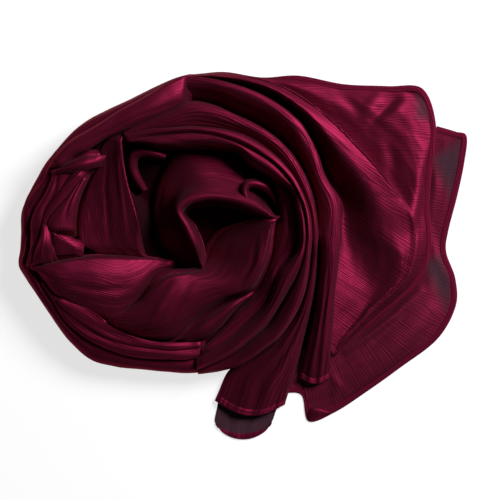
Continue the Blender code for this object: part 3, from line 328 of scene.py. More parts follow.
# The petal that stands round the coil's eye. Each section crosses its ridge: foot outside x, y, z;
# ridge x, y, z; foot inside x, y, z.
EYE_PETAL = [
    (194, 265.5, 10, 201, 263, 25, 205, 258.5, 12),
    (176, 252, 10, 195.5, 247, 40, 201.5, 243.5, 12),
    (163.5, 232, 11, 187, 228, 46, 194, 226.5, 12),
    (160, 205, 14, 178, 210, 49, 185.5, 213.5, 14),
    (168, 178, 20, 189.5, 199.5, 49, 194, 206.5, 16),
    (184, 156, 27, 211, 195.5, 48, 212, 203.5, 18),
    (214, 157, 28, 233, 198.5, 48, 231.5, 206, 22),
    (238, 166, 27, 254, 206.5, 50, 250.5, 213, 30),
    (246, 181, 28, 269, 214.5, 53, 264, 218, 40)]
EYE_GUIDES_AT = (0.0, 0.26, 0.42, 0.52, 0.64, 0.82, 1.0)
EYE_FOOT = 1.5  # how much further in the inside foot stands, in mm
EYE_ROUND = 2.8  # how far the ridge has fallen at either side of its top, in mm

# Two small folds: along a ridge x, y, z, with half its width.
RIDGES = {
    "fold_hook": [
        (144.5, 191, 20, 3.9), (137, 180, 28, 5.2), (132.5, 168, 33, 5.5), (134, 157, 36, 5.5),
        (143, 152.5, 37, 5.5), (155, 154, 36, 5.2), (166, 157, 33, 4.4)],
    "fold_loop": [
        (276.5, 205.5, 30, 2.4), (272.5, 195.5, 37, 3.4), (265.5, 187.5, 44, 4.2), (256, 184, 47, 4.6),
        (248, 184.5, 48, 4.6), (244.5, 190, 48, 4.2), (246, 198, 47, 3.6)],
}
RIDGE_DROP = 13.0  # from the ridge down to its feet

FOLD_TUCK, END_TUCK = 0.35, 0.3  # how far the feet of a section turn in, in radians
ARCH_POWER = 0.8  # under 1, an arch is fuller at its sides than half a sine
MITRE_LEAST = 0.7  # a corner's mitre is divided by 1 plus the cosine of its turn, and by no less than this


# ---- curves and surfaces -------------------------------------------------------------------------
def hermite(knots, values, at):
    """Smooth curve through values at knots: a cubic on each span, with the slopes of the neighbours."""
    knots, values = np.asarray(knots, float), np.asarray(values, float)
    slopes = np.gradient(values, knots, axis=0)
    at = np.clip(at, knots[0], knots[-1])
    span = np.clip(np.searchsorted(knots, at, side="right") - 1, 0, len(knots) - 2)
    width = (knots[span + 1] - knots[span])[:, None]
    t = (at - knots[span])[:, None] / width
    values = values.reshape(len(knots), -1)
    slopes = slopes.reshape(len(knots), -1)
    return ((2 * t**3 - 3 * t**2 + 1) * values[span] + (t**3 - 2 * t**2 + t) * width * slopes[span]
            + (3 * t**2 - 2 * t**3) * values[span + 1] + (t**3 - t**2) * width * slopes[span + 1])


def along_rows(rows, count):
    """Rows of a table, resampled smoothly to count sections."""
    return hermite(np.arange(len(rows)), rows, np.linspace(0, len(rows) - 1, count))


def smooth_step(t):
    """From 0 to 1 with level ends: three times the square, less twice the cube."""
    return t * t * (3 - 2 * t)


def unit(vectors):
    """The vectors at length 1."""
    return vectors / np.maximum(np.linalg.norm(vectors, axis=-1, keepdims=True), 1e-9)


def sideways(run):
    """Plan directions turned by a right angle: minus y, and x."""
    return np.stack([-run[:, 1], run[:, 0]], -1)


def with_heights(plan, z):
    """Points from their places in plan and their heights."""
    return np.concatenate([plan, z[..., None]], -1)


def upward(surface):
    """Unit normals of a grid surface, turned to the upper side."""
    normal = unit(np.cross(np.gradient(surface, axis=0), np.gradient(surface, axis=1)))
    return normal if normal[..., 2].sum() > 0 else -normal


def radius_of(line, angles):
    """Radius of one of the coil's lines: a smooth curve through its points, by the angle."""
    knots, radii = zip(*LINES[line])
    return hermite(knots, radii, angles)[:, 0]


def ring_points(angles, radii):
    """Plan points about the coil's middle: radius by the cosine to the right, and by the sine away."""
    turned = np.radians(angles)
    return np.stack([COIL_MIDDLE[0] + radii * np.cos(turned), COIL_MIDDLE[1] - radii * np.sin(turned)], -1)


def arch(count, tuck):
    """Half turn of a fold's section, with both feet tucked in: share of the width, and of the height."""
    turn = np.linspace(-tuck, math.pi + tuck, count)
    sunk = math.sin(tuck)
    height = np.sign(np.sin(turn)) * np.abs(np.sin(turn)) ** ARCH_POWER
    return (1 - np.cos(turn)) / 2, (np.maximum(height, -sunk) + sunk) / (1 + sunk)


def hollowed(height, fall):
    """The heights of a section with those inside its crest raised to a power: over 1, it falls hollow."""
    inside = np.arange(height.shape[-1]) > (height.shape[-1] - 1) / 2
    return np.where(inside, height ** np.reshape(fall, (-1, 1)), height)


def bent_over(across, peak):
    """Shares of the width raised to the power that brings the middle of each section to its peak."""
    return across ** (np.log(peak) / math.log(0.5))[:, None]


def fold_surface(table, across, height):
    """Sections between two feet. Table rows: outer x, y, z; crest z; inner x, y, z; peak. The plan runs
    straight from foot to foot, and the height from the line between the feet to the crest."""
    share = bent_over(across, table[:, 7])
    plan = table[:, None, 0:2] + (table[:, 4:6] - table[:, 0:2])[:, None] * share[..., None]
    foot = table[:, 2:3] + (table[:, 6:7] - table[:, 2:3]) * share
    return with_heights(plan, foot + (table[:, 3:4] - foot) * height)


def across_guides(guides, knots, at):
    """Sections that run smoothly through guide lines, which stand at the knots' shares of the way over."""
    flat = hermite(knots, guides.transpose(1, 0, 2).reshape(len(knots), -1), at)
    return flat.reshape(len(at), -1, 3).transpose(1, 0, 2)


def inset(edge, inside, distance):
    """A plan line moved sideways towards the points inside, with mitred corners."""
    side = sideways(unit(np.diff(edge[:, :2], axis=0)))
    before, after = np.vstack([side[:1], side]), np.vstack([side, side[-1:]])
    mitre = before + after
    mitre /= np.maximum((mitre * before).sum(-1, keepdims=True), MITRE_LEAST)
    if (mitre * (inside[:, :2] - edge[:, :2])).sum() < 0:
        mitre = -mitre
    moved = edge.copy()
    moved[:, :2] += mitre * np.reshape(distance, (-1, 1))
    return moved


# ---- the stretches of cloth ----------------------------------------------------------------------
END_RUN = 3.2  # degrees that a fold of the coil runs on under its neighbour at each end
FIRST_RUNS = {"fold_left_1": 6.5, "fold_left_2": 6.5}  # where one runs further under at its first end
RUN_ROWS = 4  # sections in that run
FEWEST = 8  # sections that the shortest fold has between its ends
END_DROP = 13.0  # how far it sinks there, in mm
# Where the bands at the foot meet the two turns, their ends sink by a share of it: first end, last end.
SHALLOW_ENDS = {"rim_bottom": (1.0, 0.8), "band_bottom": (1.0, 0.8), "band_inner": (1.0, 0.8),
                "turn_b": (0.1, 1.0), "turn_c": (0.15, 1.0), "turn_inner": (0.15, 1.0)}
EDGE_STEPS = np.array([0.3, 0.65, 1.0])  # added points at an edge, as shares of the way out or down
SKIRT = 7.0  # how far a long edge hangs down behind its neighbour, in mm
APRON, APRON_SINK = 7.0, 5.0  # how far a petal runs on under its neighbours, and sinks there, in mm
END_APRON = 1.4  # the strips at its ends, against those at its sides
# Less of the apron where an edge shows: near edge, far edge.
APRON_SHARES = {"panel_left": (1.0, 0.1), "tuck_left": (1.0, 0.5), "petal_left": (0.15, 1.0),
                "petal_eye": (1.0, 0.1)}


def turn_rows(outer_line, inner_line, rows, angles):
    """Columns of the sections at these angles: outer x, y, z; crest z; inner x, y, z; peak; and fall."""
    rows = np.array([(*row, ROUND)[:6] for row in rows], float)
    table = hermite(rows[:, 0], rows[:, 1:], angles)
    outer = ring_points(angles, radius_of(outer_line, angles) + (0 if outer_line == "outline" else OVERLAP))
    inner = ring_points(angles, radius_of(inner_line, angles) - OVERLAP)
    return np.column_stack([outer, table[:, 0:2], inner, table[:, 2:5]])


def ring_fold(name, step, count):
    """A fold of the coil between two of its lines. Both ends run on under their neighbours, and sink there
    by a smooth step."""
    outer_line, inner_line, (first, last), rows = FOLDS[name]
    angles = np.concatenate([np.linspace(first - FIRST_RUNS.get(name, END_RUN), first, RUN_ROWS + 1)[:-1],
                             np.linspace(first, last, max(int((last - first) / step), FEWEST)),
                             np.linspace(last, last + END_RUN, RUN_ROWS + 1)[1:]])
    table = turn_rows(outer_line, inner_line, rows, angles)
    if name in RIMS:
        table[:, 6] = table[:, 2]  # the rims' own section gives the height of their inner side
        surface = fold_surface(table, *np.clip(along_rows(RIM_SECTION, count).T, 0, 1))
    else:
        across, height = arch(count, FOLD_TUCK)
        surface = fold_surface(table, across, hollowed(height, table[:, 8]))
    from_end = np.arange(len(surface)) / RUN_ROWS
    for away, share in zip((from_end, from_end[::-1]), SHALLOW_ENDS.get(name, (1.0, 1.0))):
        surface[..., 2] -= (share * END_DROP * smooth_step(np.clip(1 - away, 0, 1)))[:, None]
    return surface


def panel_surface(rows, sections, count, roll_width=ROLL_WIDTH):
    """Sections between two edges: a straight line, lifted in the middle by half a sine, and rolled down
    at both edges by a quarter circle."""
    ax, ay, az, bx, by, bz, bulge, roll_a, roll_b = along_rows(rows, sections).T[..., None]
    share = (1 - np.cos(np.linspace(0, math.pi, count))) / 2
    rolled_a, rolled_b = [1 - np.sqrt(1 - np.clip(1 - away / roll_width, 0, 1) ** 2)
                          for away in (share, 1 - share)]
    z = az + (bz - az) * share + bulge * np.sin(math.pi * share) - roll_a * rolled_a - roll_b * rolled_b
    return np.stack([ax + (bx - ax) * share, ay + (by - ay) * share, z], -1)


def turn_and_end(turn, end, step, per_row, count):
    """A turn from its hidden start down to its hemmed end, as one stretch: a fold whose feet come out from
    under it towards the end, bowed by half a sine, and pleated by a cosine that fades at both sides."""
    outer_line, inner_line, (first, last), rows = turn
    inside = np.arange(math.floor(first / step) + 1, math.ceil(last / step)) * step
    angles = np.concatenate([[first], inside[(inside > first + 1) & (inside < last - 1)], [last]])
    ring = turn_rows(outer_line, inner_line, rows, angles[::-1])
    fall = ring[:, 8]
    ring = np.column_stack([ring[:, :8], np.zeros((len(ring), 2))])
    free = along_rows(np.vstack([ring[-2:], end]), (len(end) + 1) * per_row + 1)[per_row + 1:]
    fall = np.append(fall, np.linspace(fall[-1], ROUND, len(free)))
    table = np.vstack([ring, free])
    spread = np.append(np.zeros(len(ring)), np.linspace(0, 1, len(free)))[:, None]
    tucked, level = arch(count, END_TUCK), arch(count, 0.0)
    across = tucked[0] + (level[0] - tucked[0]) * spread
    height = hollowed(tucked[1] + (level[1] - tucked[1]) * spread, fall)
    surface = fold_surface(table, across, height)
    share = bent_over(across, table[:, 7])
    surface[..., 1] += table[:, 8:9] * np.sin(math.pi * share)
    surface[..., 2] += table[:, 9:10] * np.cos(2 * math.pi * PLEATS * share) * np.sin(math.pi * share)
    return surface


def broad_end(sections, per_span):
    """Nine guide lines from the strand over the roll to the hem, joined across by one smooth curve: the
    strand's side, the valley, the roll's top, its shoulder and its side, two that turn under it where it
    stands high, the swell and the edge. Gives the surface, and the two edges of its hem."""
    (side_x, side_y, side_z, roll_x, roll_y, roll_z, foot_z, swell_at, swell_z,
     hem_x, hem_y, hem_z) = along_rows(BROAD_END, sections).T
    valley_at, valley_z, top_at, top_z = along_rows(ROLL, sections).T
    side, roll = np.stack([side_x, side_y], -1), np.stack([roll_x, roll_y], -1)
    hem_line = np.stack([hem_x, hem_y, hem_z], -1)
    reach = np.linalg.norm(hem_line[:, :2] - roll, axis=1)
    hem_width = np.minimum(HEM_WIDTH, HEM_SHARE * reach)
    edge = inset(hem_line, roll, hem_width - UNDER_HEM)[:, :2]
    drop = roll_z - foot_z
    shoulder, roll_side, roll_under = [np.minimum(most, share * drop)
                                       for most, share in (SHOULDER, ROLL_SIDE, ROLL_UNDER)]
    rounding = np.minimum(ROLL_ROUND, ROLL_ROUND_SHARE * reach)[:, None]
    back, out = unit(side - roll) * rounding, unit(edge - roll) * rounding
    under = np.minimum(1.0, drop / FULL_DROP)[:, None]
    upper, lower = [roll + out * (level - less * under) for level, less in UNDERCUTS]
    guides = [(side, side_z), (side + (roll - side) * valley_at[:, None], valley_z),
              (side + (roll - side) * top_at[:, None], top_z), (roll + back, roll_z - shoulder),
              (roll, roll_z - roll_side), (upper, foot_z + roll_under), (lower, foot_z),
              (roll + (edge - roll) * swell_at[:, None], swell_z), (edge, hem_z)]
    steps = [np.linspace(a, b, span * per_span, endpoint=False)
             for a, b, span in zip(GUIDES_AT, GUIDES_AT[1:], BROAD_SPANS)]
    lines = np.stack([with_heights(plan, z) for plan, z in guides], 1)
    surface = across_guides(lines, GUIDES_AT, np.concatenate([*steps, [1.0]]))
    return surface, (inset(hem_line, roll, hem_width), hem_line)


def under_end(sections, count):
    """A sheet on the table, straight from its hidden edge to its hem, with one long low crease, which is a
    bell curve across. Gives the surface, and the two edges of its hem."""
    hidden_x, hidden_y, hem_x, hem_y, crease = along_rows(UNDER_END, sections).T
    level = np.full(sections, ON_TABLE)
    hidden, hem_line = np.stack([hidden_x, hidden_y, level], -1), np.stack([hem_x, hem_y, level], -1)
    edge = inset(hem_line, hidden, HEM_WIDTH - UNDER_HEM)
    share = np.linspace(0, 1, count)[:, None]
    sheet = hidden[:, None] + (edge - hidden)[:, None] * share
    sheet[..., 2] += crease[:, None] * np.exp(-((share[:, 0] - UNDER_CREASE_AT) / UNDER_CREASE_WIDTH) ** 2)
    inward = unit((sheet[:, :1] - sheet[:, 8:9]) * (1, 1, 0))
    sheet = np.concatenate([sheet[:, :1] + inward * np.array(HIDDEN_STEPS)[:, None], sheet], 1)
    return sheet, (inset(hem_line, hidden, HEM_WIDTH), hem_line)


def sheer_tail(sections, count):
    """A flat sheet on the table, straight from side to side but for a bow, a power of half a sine."""
    ax, ay, bx, by, bow = along_rows(SHEER_TAIL, sections).T[..., None]
    share = np.linspace(0, 1, count)
    x = ax + (bx - ax) * share
    y = ay + (by - ay) * share + bow * np.sin(math.pi * share) ** BOW_POWER
    return np.stack([x, y, np.full_like(x, ON_TABLE)], -1)


def eye_petal(sections, count):
    """Sections over the ridge: outside foot to ridge to inside foot, rounded over the top."""
    out, ridge, inn = np.split(along_rows(EYE_PETAL, sections), 3, axis=1)
    inn[:, :2] += EYE_FOOT * unit((inn - ridge)[:, :2])
    guides = np.stack([out, out * 0.4 + ridge * 0.6, ridge * 0.86 + out * 0.14, ridge,
                       ridge + (inn - ridge) * 0.5, inn * 0.7 + ridge * 0.3, inn], 1)
    guides[:, 1, 2] = out[:, 2] * 0.62 + ridge[:, 2] * 0.38
    guides[:, [2, 4], 2] = ridge[:, 2:3] - EYE_ROUND
    guides[:, 5, 2] = inn[:, 2] * 0.55 + ridge[:, 2] * 0.45
    return across_guides(guides, EYE_GUIDES_AT, np.linspace(0, 1, count))


def small_fold(rows, sections, count):
    """An arch carried along a ridge line, square to it."""
    x, y, z, half = along_rows(rows, sections).T[..., None]
    plan = np.concatenate([x, y], -1)
    across, height = arch(count, END_TUCK)
    offset = (across * 2 - 1)[:, None] * half[:, None] * sideways(unit(np.gradient(plan, axis=0)))[:, None]
    return with_heights(plan[:, None] + offset, z - RIDGE_DROP * (1 - height))


def skirted(surface, first, last):
    """The surface with its long edges hanging straight down, by these depths where they aren't 0."""
    down = -EDGE_STEPS[:, None] * (0.0, 0.0, 1.0)
    parts = [surface[:, :1] + down[::-1] * first, surface, surface[:, -1:] + down * last]
    return np.concatenate([part for part, kept in zip(parts, (first, True, last)) if kept], 1)


def aproned(surface, sides=(1.0, 1.0)):
    """The surface with a strip more on each side: out in plan, level with its edge first and then sinking
    by a power of the way out."""
    t = EDGE_STEPS[:, None]

    def strip(edge, away, share):
        """The added points of one side, row by row outwards from its edge."""
        out = unit(away * (1, 1, 0))[:, None] * t * APRON
        return edge[:, None] + share * (out - np.array([0, 0, APRON_SINK]) * t**1.5)

    over = surface[:, -1] - surface[:, 0]
    surface = np.concatenate([strip(surface[:, 0], -over, sides[0])[:, ::-1], surface,
                              strip(surface[:, -1], over, sides[1])], 1)
    middle = surface[:, surface.shape[1] // 2]
    first = strip(surface[0], middle[:1] - middle[3:4], END_APRON)
    last = strip(surface[-1], middle[-1:] - middle[-4:-3], END_APRON)
    return np.concatenate([first[:, ::-1].transpose(1, 0, 2), surface, last.transpose(1, 0, 2)], 0)


# ---- creases ---------------------------------------------------------------------------------------
# Creases along a stretch: from share along and share across, to share along and share across, width in
# mm, and height in mm (below 0 for a trough).
RUN_CREASES = {
    "rim_top_left": [
        (0.05, 0.8, 0.5, 0.72, 2.5, -0.8), (0.4, 0.85, 0.95, 0.75, 3, 0.8)],
    "band_top_left": [
        (0.02, 0.25, 0.95, 0.35, 3, 0.7), (0.1, 0.62, 0.8, 0.55, 2.6, -0.7), (0.3, 0.8, 1, 0.7, 3, 0.7),
        (0.55, 0.15, 1, 0.25, 2.2, -0.8)],
    "rim_left": [
        (0, 0.8, 0.4, 0.7, 2.5, -1.6), (0.25, 0.6, 0.7, 0.85, 2.5, 1.4), (0.6, 0.9, 0.98, 0.6, 2.2, -1.4)],
    "fold_left_1": [
        (0.05, 0.3, 0.6, 0.7, 2, -1.4), (0.3, 0.8, 0.95, 0.35, 2.2, 1.3)],
    "fold_left_2": [
        (0, 0.6, 0.7, 0.2, 2, 1.3), (0.3, 0.9, 1, 0.5, 2, -1.6)],
    "fold_left_3": [
        (0.05, 0.3, 0.8, 0.6, 2.2, -1.4), (0.3, 0.15, 1, 0.3, 2, 1.2)],
    "knot_left": [
        (0, 0.3, 1, 0.55, 2.2, 1.2), (0.2, 0.8, 1, 0.7, 2, -1.2)],
    "rim_bottom": [
        (0, 0.85, 0.45, 0.7, 3, 0.8), (0.3, 0.9, 0.9, 0.78, 3, -0.8)],
    "band_bottom": [
        (0.05, 0.4, 0.6, 0.55, 2.6, -0.8), (0.4, 0.6, 0.95, 0.45, 2.4, 0.7)],
    "band_inner": [
        (0.1, 0.35, 0.7, 0.5, 2.6, -0.8), (0.5, 0.6, 1, 0.4, 2.4, 0.7)],
    "turn_b": [
        (0, 0.3, 0.5, 0.4, 2, -0.7), (0.35, 0.6, 0.95, 0.5, 2, 0.6), (0.05, 0.65, 0.45, 0.6, 1.6, 0.7),
        (0.5, 0.25, 0.9, 0.3, 1.8, -0.6)],
    "turn_c": [
        (0.1, 0.3, 0.6, 0.25, 2, 0.7), (0.3, 0.6, 0.9, 0.65, 2.4, -0.8), (0.02, 0.55, 0.35, 0.6, 1.8, -0.8),
        (0.6, 0.35, 0.98, 0.45, 2, 0.7)],
    "turn_inner": [
        (0.05, 0.35, 0.6, 0.55, 2.4, 1), (0.3, 0.7, 0.95, 0.5, 2.4, -0.9)],
}
# Creases by their place on the lay-out: width in mm, height in mm, and the points x, y they run through.
PLAN_CREASES = {
    "end_broad": [
        (5, -2.2, [(399, 96), (388, 106), (376, 117), (370, 124)]),
        (6, 1.5, [(405, 100), (396, 112), (386, 120)]), (6, 1.3, [(382, 92), (372, 104), (366, 114)]),
        (7, -1.8, [(388, 142), (393, 158), (394, 178)]), (7, 0.8, [(378, 136), (383, 150), (386, 166)]),
        (5, -1.4, [(404, 92), (413, 94), (420, 97)]), (6, -1.2, [(340, 92), (352, 104), (362, 118)]),
        (5, 1, [(412, 214), (420, 232), (421, 250), (408, 276)]),
        (6, -0.8, [(356, 150), (376, 178), (392, 214)])],
    "end_under": [
        (5, 3.6, [(420, 292), (396, 315), (368, 337), (348, 351)]),
        (11, 4.5, [(432, 314), (404, 342), (376, 368), (350, 390)]),
        (4, 1.2, [(330, 372), (338, 386), (334, 400)]), (5, 1.4, [(430, 232), (436, 256), (446, 280)]),
        (5, 1.4, [(434, 160), (436, 186), (432, 206)])],
    "rim_bottom": [
        (2.4, 2.2, [(229, 366), (235, 360), (240, 357)]), (2.4, -2.2, [(233, 369), (240, 363), (246, 358)]),
        (6, -1.2, [(60, 330), (84, 350), (110, 362)])],
    "band_top_left": [
        (6, 0.6, [(172, 86), (176, 96), (178, 108)]), (3.5, -1.6, [(190, 82), (187, 94), (190, 106)])],
    "petal_left": [
        (5, 1, [(60, 272), (90, 270), (120, 274)]), (4, -1, [(70, 284), (100, 290), (130, 288)])],
    "petal_front": [
        (3, 1.2, [(262, 236), (258, 262), (246, 284)]), (3, -1.2, [(256, 240), (252, 264), (240, 284)]),
        (4, 1.2, [(176, 282), (164, 300), (150, 326)]), (4, -1.2, [(190, 284), (178, 306), (166, 330)])],
    "petal_eye": [
        (4, 1, [(196, 176), (214, 180), (236, 188)]), (4, -1, [(190, 186), (212, 190), (232, 194)])],
    "panel_left": [
        (2.2, 1, [(118, 150), (120, 180), (126, 230)]), (2.2, -1, [(108, 156), (106, 190), (110, 240)]),
        (3, 1, [(121, 143), (122, 152), (122, 160)])],
}
# Narrow pleats along a stretch: how many lie side by side, and their height in mm.
FINE_PLEATS = {
    "strand": (9, 0.26), "tail_left": (14, 0.34), "turn_b": (5, 0.22), "turn_c": (5, 0.25),
    "turn_inner": (5, 0.3), "petal_front": (13, 0.16), "tail_sheer": (16, 0.12)
}
SWAY, SWAY_SIZE = 0.7, (34, 9)  # how far pleats wander, in pleats, over so many mm along and across
FADE, FADE_SIZE = 0.4, (22, 6)  # how much of their height comes and goes
# The soft unevenness that all of the cloth has: height in mm, size along and across in mm, and the same
# again finer, at a share of the height.
UNEVEN, UNEVEN_SIZE, FINE_SHARE, FINE_SIZE = 0.35, (26, 8), 0.4, (11, 4)
CALM, CALM_SHARE = 3.0, 0.25  # this near a long edge, in mm, creases and pleats die down to this share
WAVER, WAVER_TURNS = 0.03, 9  # how far a crease along the stretch wavers, across it, and how often
CREASE_POWER = 0.7  # under 1, it fades out nearer to its ends
PLAN_ENDS = 0.35  # the share of its height that a crease on the lay-out has at its ends
LATTICE = 64  # cells of the noise, each way, before it repeats


def value_noise(x, y, seed):
    """Smooth noise from -1 to 1 on the plane: random numbers on a lattice, blended with smooth steps."""
    table = np.random.default_rng(seed).uniform(-1, 1, (LATTICE, LATTICE))
    xi, yi = np.floor(x).astype(int), np.floor(y).astype(int)
    fx, fy = smooth_step(x - xi), smooth_step(y - yi)
    a, b, c, d = (table[(xi + i) % LATTICE, (yi + j) % LATTICE] for j in (0, 1) for i in (0, 1))
    return a + (b - a) * fx + (c - a) * fy + (a - b - c + d) * fx * fy


def flat_lengths(surface):
    """Distance in mm along the stretch, the same for a whole section, and across it from its middle."""
    along = np.linalg.norm(np.diff(surface, axis=0), axis=-1)
    across = np.linalg.norm(np.diff(surface, axis=1), axis=-1)
    along = np.vstack([np.zeros((1, surface.shape[1])), np.cumsum(along, axis=0)])
    across = np.hstack([np.zeros((surface.shape[0], 1)), np.cumsum(across, axis=1)])
    middle = along.mean(axis=1, keepdims=True)
    return np.broadcast_to(middle, along.shape), across - across.mean(axis=1, keepdims=True)


def line_distance(x, y, points):
    """Distance from each place to a line of points, and how far along the line the nearest place is."""
    best, where = np.full(x.shape, 1e9), np.zeros(x.shape)
    points = np.asarray(points, float)
    lengths = np.linalg.norm(np.diff(points, axis=0), axis=1)
    done = 0.0
    for (ax, ay), (bx, by), length in zip(points, points[1:], lengths):
        t = np.clip(((x - ax) * (bx - ax) + (y - ay) * (by - ay)) / length**2, 0, 1)
        d = np.hypot(x - ax - t * (bx - ax), y - ay - t * (by - ay))
        closer = d < best
        best, where = np.where(closer, d, best), np.where(closer, (done + t * length) / lengths.sum(), where)
        done += length
    return best, where


def creased(name, surface, seed):
    """The surface lifted along its normals: soft noise, pleats by a sine across that wanders and fades,
    and creases, each a bell curve across and half a sine along, so that it fades at both of its ends."""
    along, across = flat_lengths(surface)
    rows, columns = along.shape
    u, v = np.meshgrid(np.linspace(0, 1, rows), np.linspace(0, 1, columns), indexing="ij")
    width = np.ptp(across, axis=1)[:, None]
    lift = UNEVEN * value_noise(along / UNEVEN_SIZE[0] + 7 * seed, across / UNEVEN_SIZE[1], seed)
    fine = value_noise(along / FINE_SIZE[0], across / FINE_SIZE[1] + 3 * seed, seed + 50)
    lift += FINE_SHARE * UNEVEN * fine
    for u0, v0, u1, v1, crease, height in RUN_CREASES.get(name, ()):
        t = np.clip((u - u0) / (u1 - u0), 0, 1)
        off = (v - (v0 + (v1 - v0) * t + WAVER * np.sin(WAVER_TURNS * t + seed))) * width
        lift += height * np.sin(math.pi * t) ** CREASE_POWER * np.exp(-((off / crease) ** 2))
    if name in FINE_PLEATS:
        count, height = FINE_PLEATS[name]
        sway = SWAY * value_noise(along / SWAY_SIZE[0], across / SWAY_SIZE[1], seed + 90)
        strong = 1 - FADE + FADE * value_noise(along / FADE_SIZE[0], across / FADE_SIZE[1], seed + 91)
        lift += height * strong * np.sin(2 * math.pi * (count * v + sway))
    for crease, height, points in PLAN_CREASES.get(name, ()):
        off, t = line_distance(surface[..., 0], surface[..., 1], points)
        fade = PLAN_ENDS + (1 - PLAN_ENDS) * np.sin(math.pi * t)
        lift += height * np.exp(-((off / crease) ** 2)) * fade
    edge = np.minimum(np.minimum(v, 1 - v) * width, CALM) / CALM
    return surface + upward(surface) * (lift * (CALM_SHARE + (1 - CALM_SHARE) * edge))[..., None]


# ---- pieces ----------------------------------------------------------------------------------------
WALL, FLAP_WALL = 0.9, 0.6  # thickness of the shells, in mm
LEAST_TOP, LEAST_UNDER = 0.3, 0.05  # the two sides of a shell stay this far above the table, in mm
SHARP = 55  # degrees between two faces from which their edge shows sharp


def added(name, data):
    """A new object with this data, in the scene."""
    obj = bpy.data.objects.new(name, data)
    bpy.context.scene.collection.objects.link(obj)
    return obj


def placed(points):
    """Lay-out points in metres about the origin, with y turned to point away."""
    return (np.asarray(points, float) - (*OUTLINE_MIDDLE, 0)) * (MM, -MM, MM)


def grid_faces(rows, columns, first=0):
    """Squares between each point of a grid and the next ones, numbered from first."""
    start = first + np.arange(rows - 1)[:, None] * columns + np.arange(columns - 1)[None, :]
    return np.stack([start, start + 1, start + columns + 1, start + columns], -1).reshape(-1, 4)


def mesh_object(name, points, faces, along, across, finish, sheer=None):
    """A mesh on the body root, with the cloth's own lengths as its UV map, in metres."""
    mesh = bpy.data.meshes.new(name)
    mesh.vertices.add(len(points))
    mesh.vertices.foreach_set("co", placed(points).astype(np.float32).ravel())
    mesh.loops.add(faces.size)
    mesh.loops.foreach_set("vertex_index", faces.astype(np.int32).ravel())
    mesh.polygons.add(len(faces))
    mesh.polygons.foreach_set("loop_start", np.arange(0, faces.size, 4, dtype=np.int32))
    mesh.update(calc_edges=True)
    mesh.validate()
    uv = mesh.uv_layers.new(name="cloth")
    lengths = np.column_stack([along, across]) * MM
    index = np.empty(len(mesh.loops), np.int32)
    mesh.loops.foreach_get("vertex_index", index)
    uv.data.foreach_set("uv", lengths[index].astype(np.float32).ravel())
    if sheer is not None:
        mesh.attributes.new("sheer", "FLOAT", "POINT").data.foreach_set("value", sheer.astype(np.float32))
    mesh.shade_smooth()
    mesh.set_sharp_from_angle(angle=math.radians(SHARP))
    mesh.materials.append(finish)
    obj = added(name, mesh)
    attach(obj, "root")
    return obj


def shell(name, surface, along, across, finish, slot, thickness=WALL, sheer=None):
    """A thin closed shell of cloth: the surface, and the same surface moved in by the thickness."""
    rows, columns = surface.shape[:2]
    under = surface - upward(surface) * thickness
    surface = surface.copy()
    surface[..., 2] = np.maximum(surface[..., 2], LEAST_TOP)
    under[..., 2] = np.maximum(under[..., 2], LEAST_UNDER)
    size = rows * columns
    rim = np.concatenate([np.arange(columns), np.arange(1, rows) * columns + columns - 1,
                          np.arange(columns - 2, -1, -1) + (rows - 1) * columns,
                          np.arange(rows - 2, 0, -1) * columns])
    follow = np.roll(rim, -1)
    rim_faces = np.stack([follow, rim, rim + size, follow + size], -1)
    faces = np.concatenate([grid_faces(rows, columns), grid_faces(rows, columns, size)[:, ::-1], rim_faces])
    a, b = rows // 2, columns // 2
    if np.cross(surface[a, b] - surface[a, b - 1], surface[a, b - 1] - surface[a - 1, b - 1])[2] > 0:
        faces = faces[:, ::-1]
    points = np.concatenate([surface.reshape(-1, 3), under.reshape(-1, 3)])
    along, across, sheer = [None if values is None else np.tile(np.ravel(values), 2)
                            for values in (along, across, sheer)]
    return mesh_object(name, points, faces, along, across, finish, sheer)


# ---- materials -------------------------------------------------------------------------------------
RIB_PITCH, RIB_SWAY = 0.0026, 24.0  # the crinkle's ribs: metres from one to the next, and how they wander
FINE_PITCH, FINE_SWAY, FINE_RIBS = 0.0015, 33.0, 0.35  # the finer ones, and their height against those
YARN = 0.5  # height of the yarn's streaks, against the crinkle
RIB_STRENGTH = (1.8, -0.4)  # the coarse ribs' height: this much of a noise, and added to it
RIB_PAINTED_SHADE, TONE_LEVEL, TONE_SOFT = 0.20, 0.28, 0.45  # the mix of colours: painted shade and highlight by the ribs, level, broad streak of random tone
BUMP_DEPTH = 0.00008  # metres
HIGHLIGHT = (0.5, 0.08, 0.16, 1.0)
SHEEN, SHEEN_ROUGHNESS, SHEEN_TINT = 0.02, 0.6, (1.0, 0.75, 0.85, 1.0)


def feed(node, values):
    """Numbers and colours are set on the node's own sockets, and other nodes' outputs are linked to them."""
    for socket, value in values.items():
        if isinstance(value, bpy.types.NodeSocket):
            node.id_data.links.new(value, node.inputs[socket])
        else:
            node.inputs[socket].default_value = value


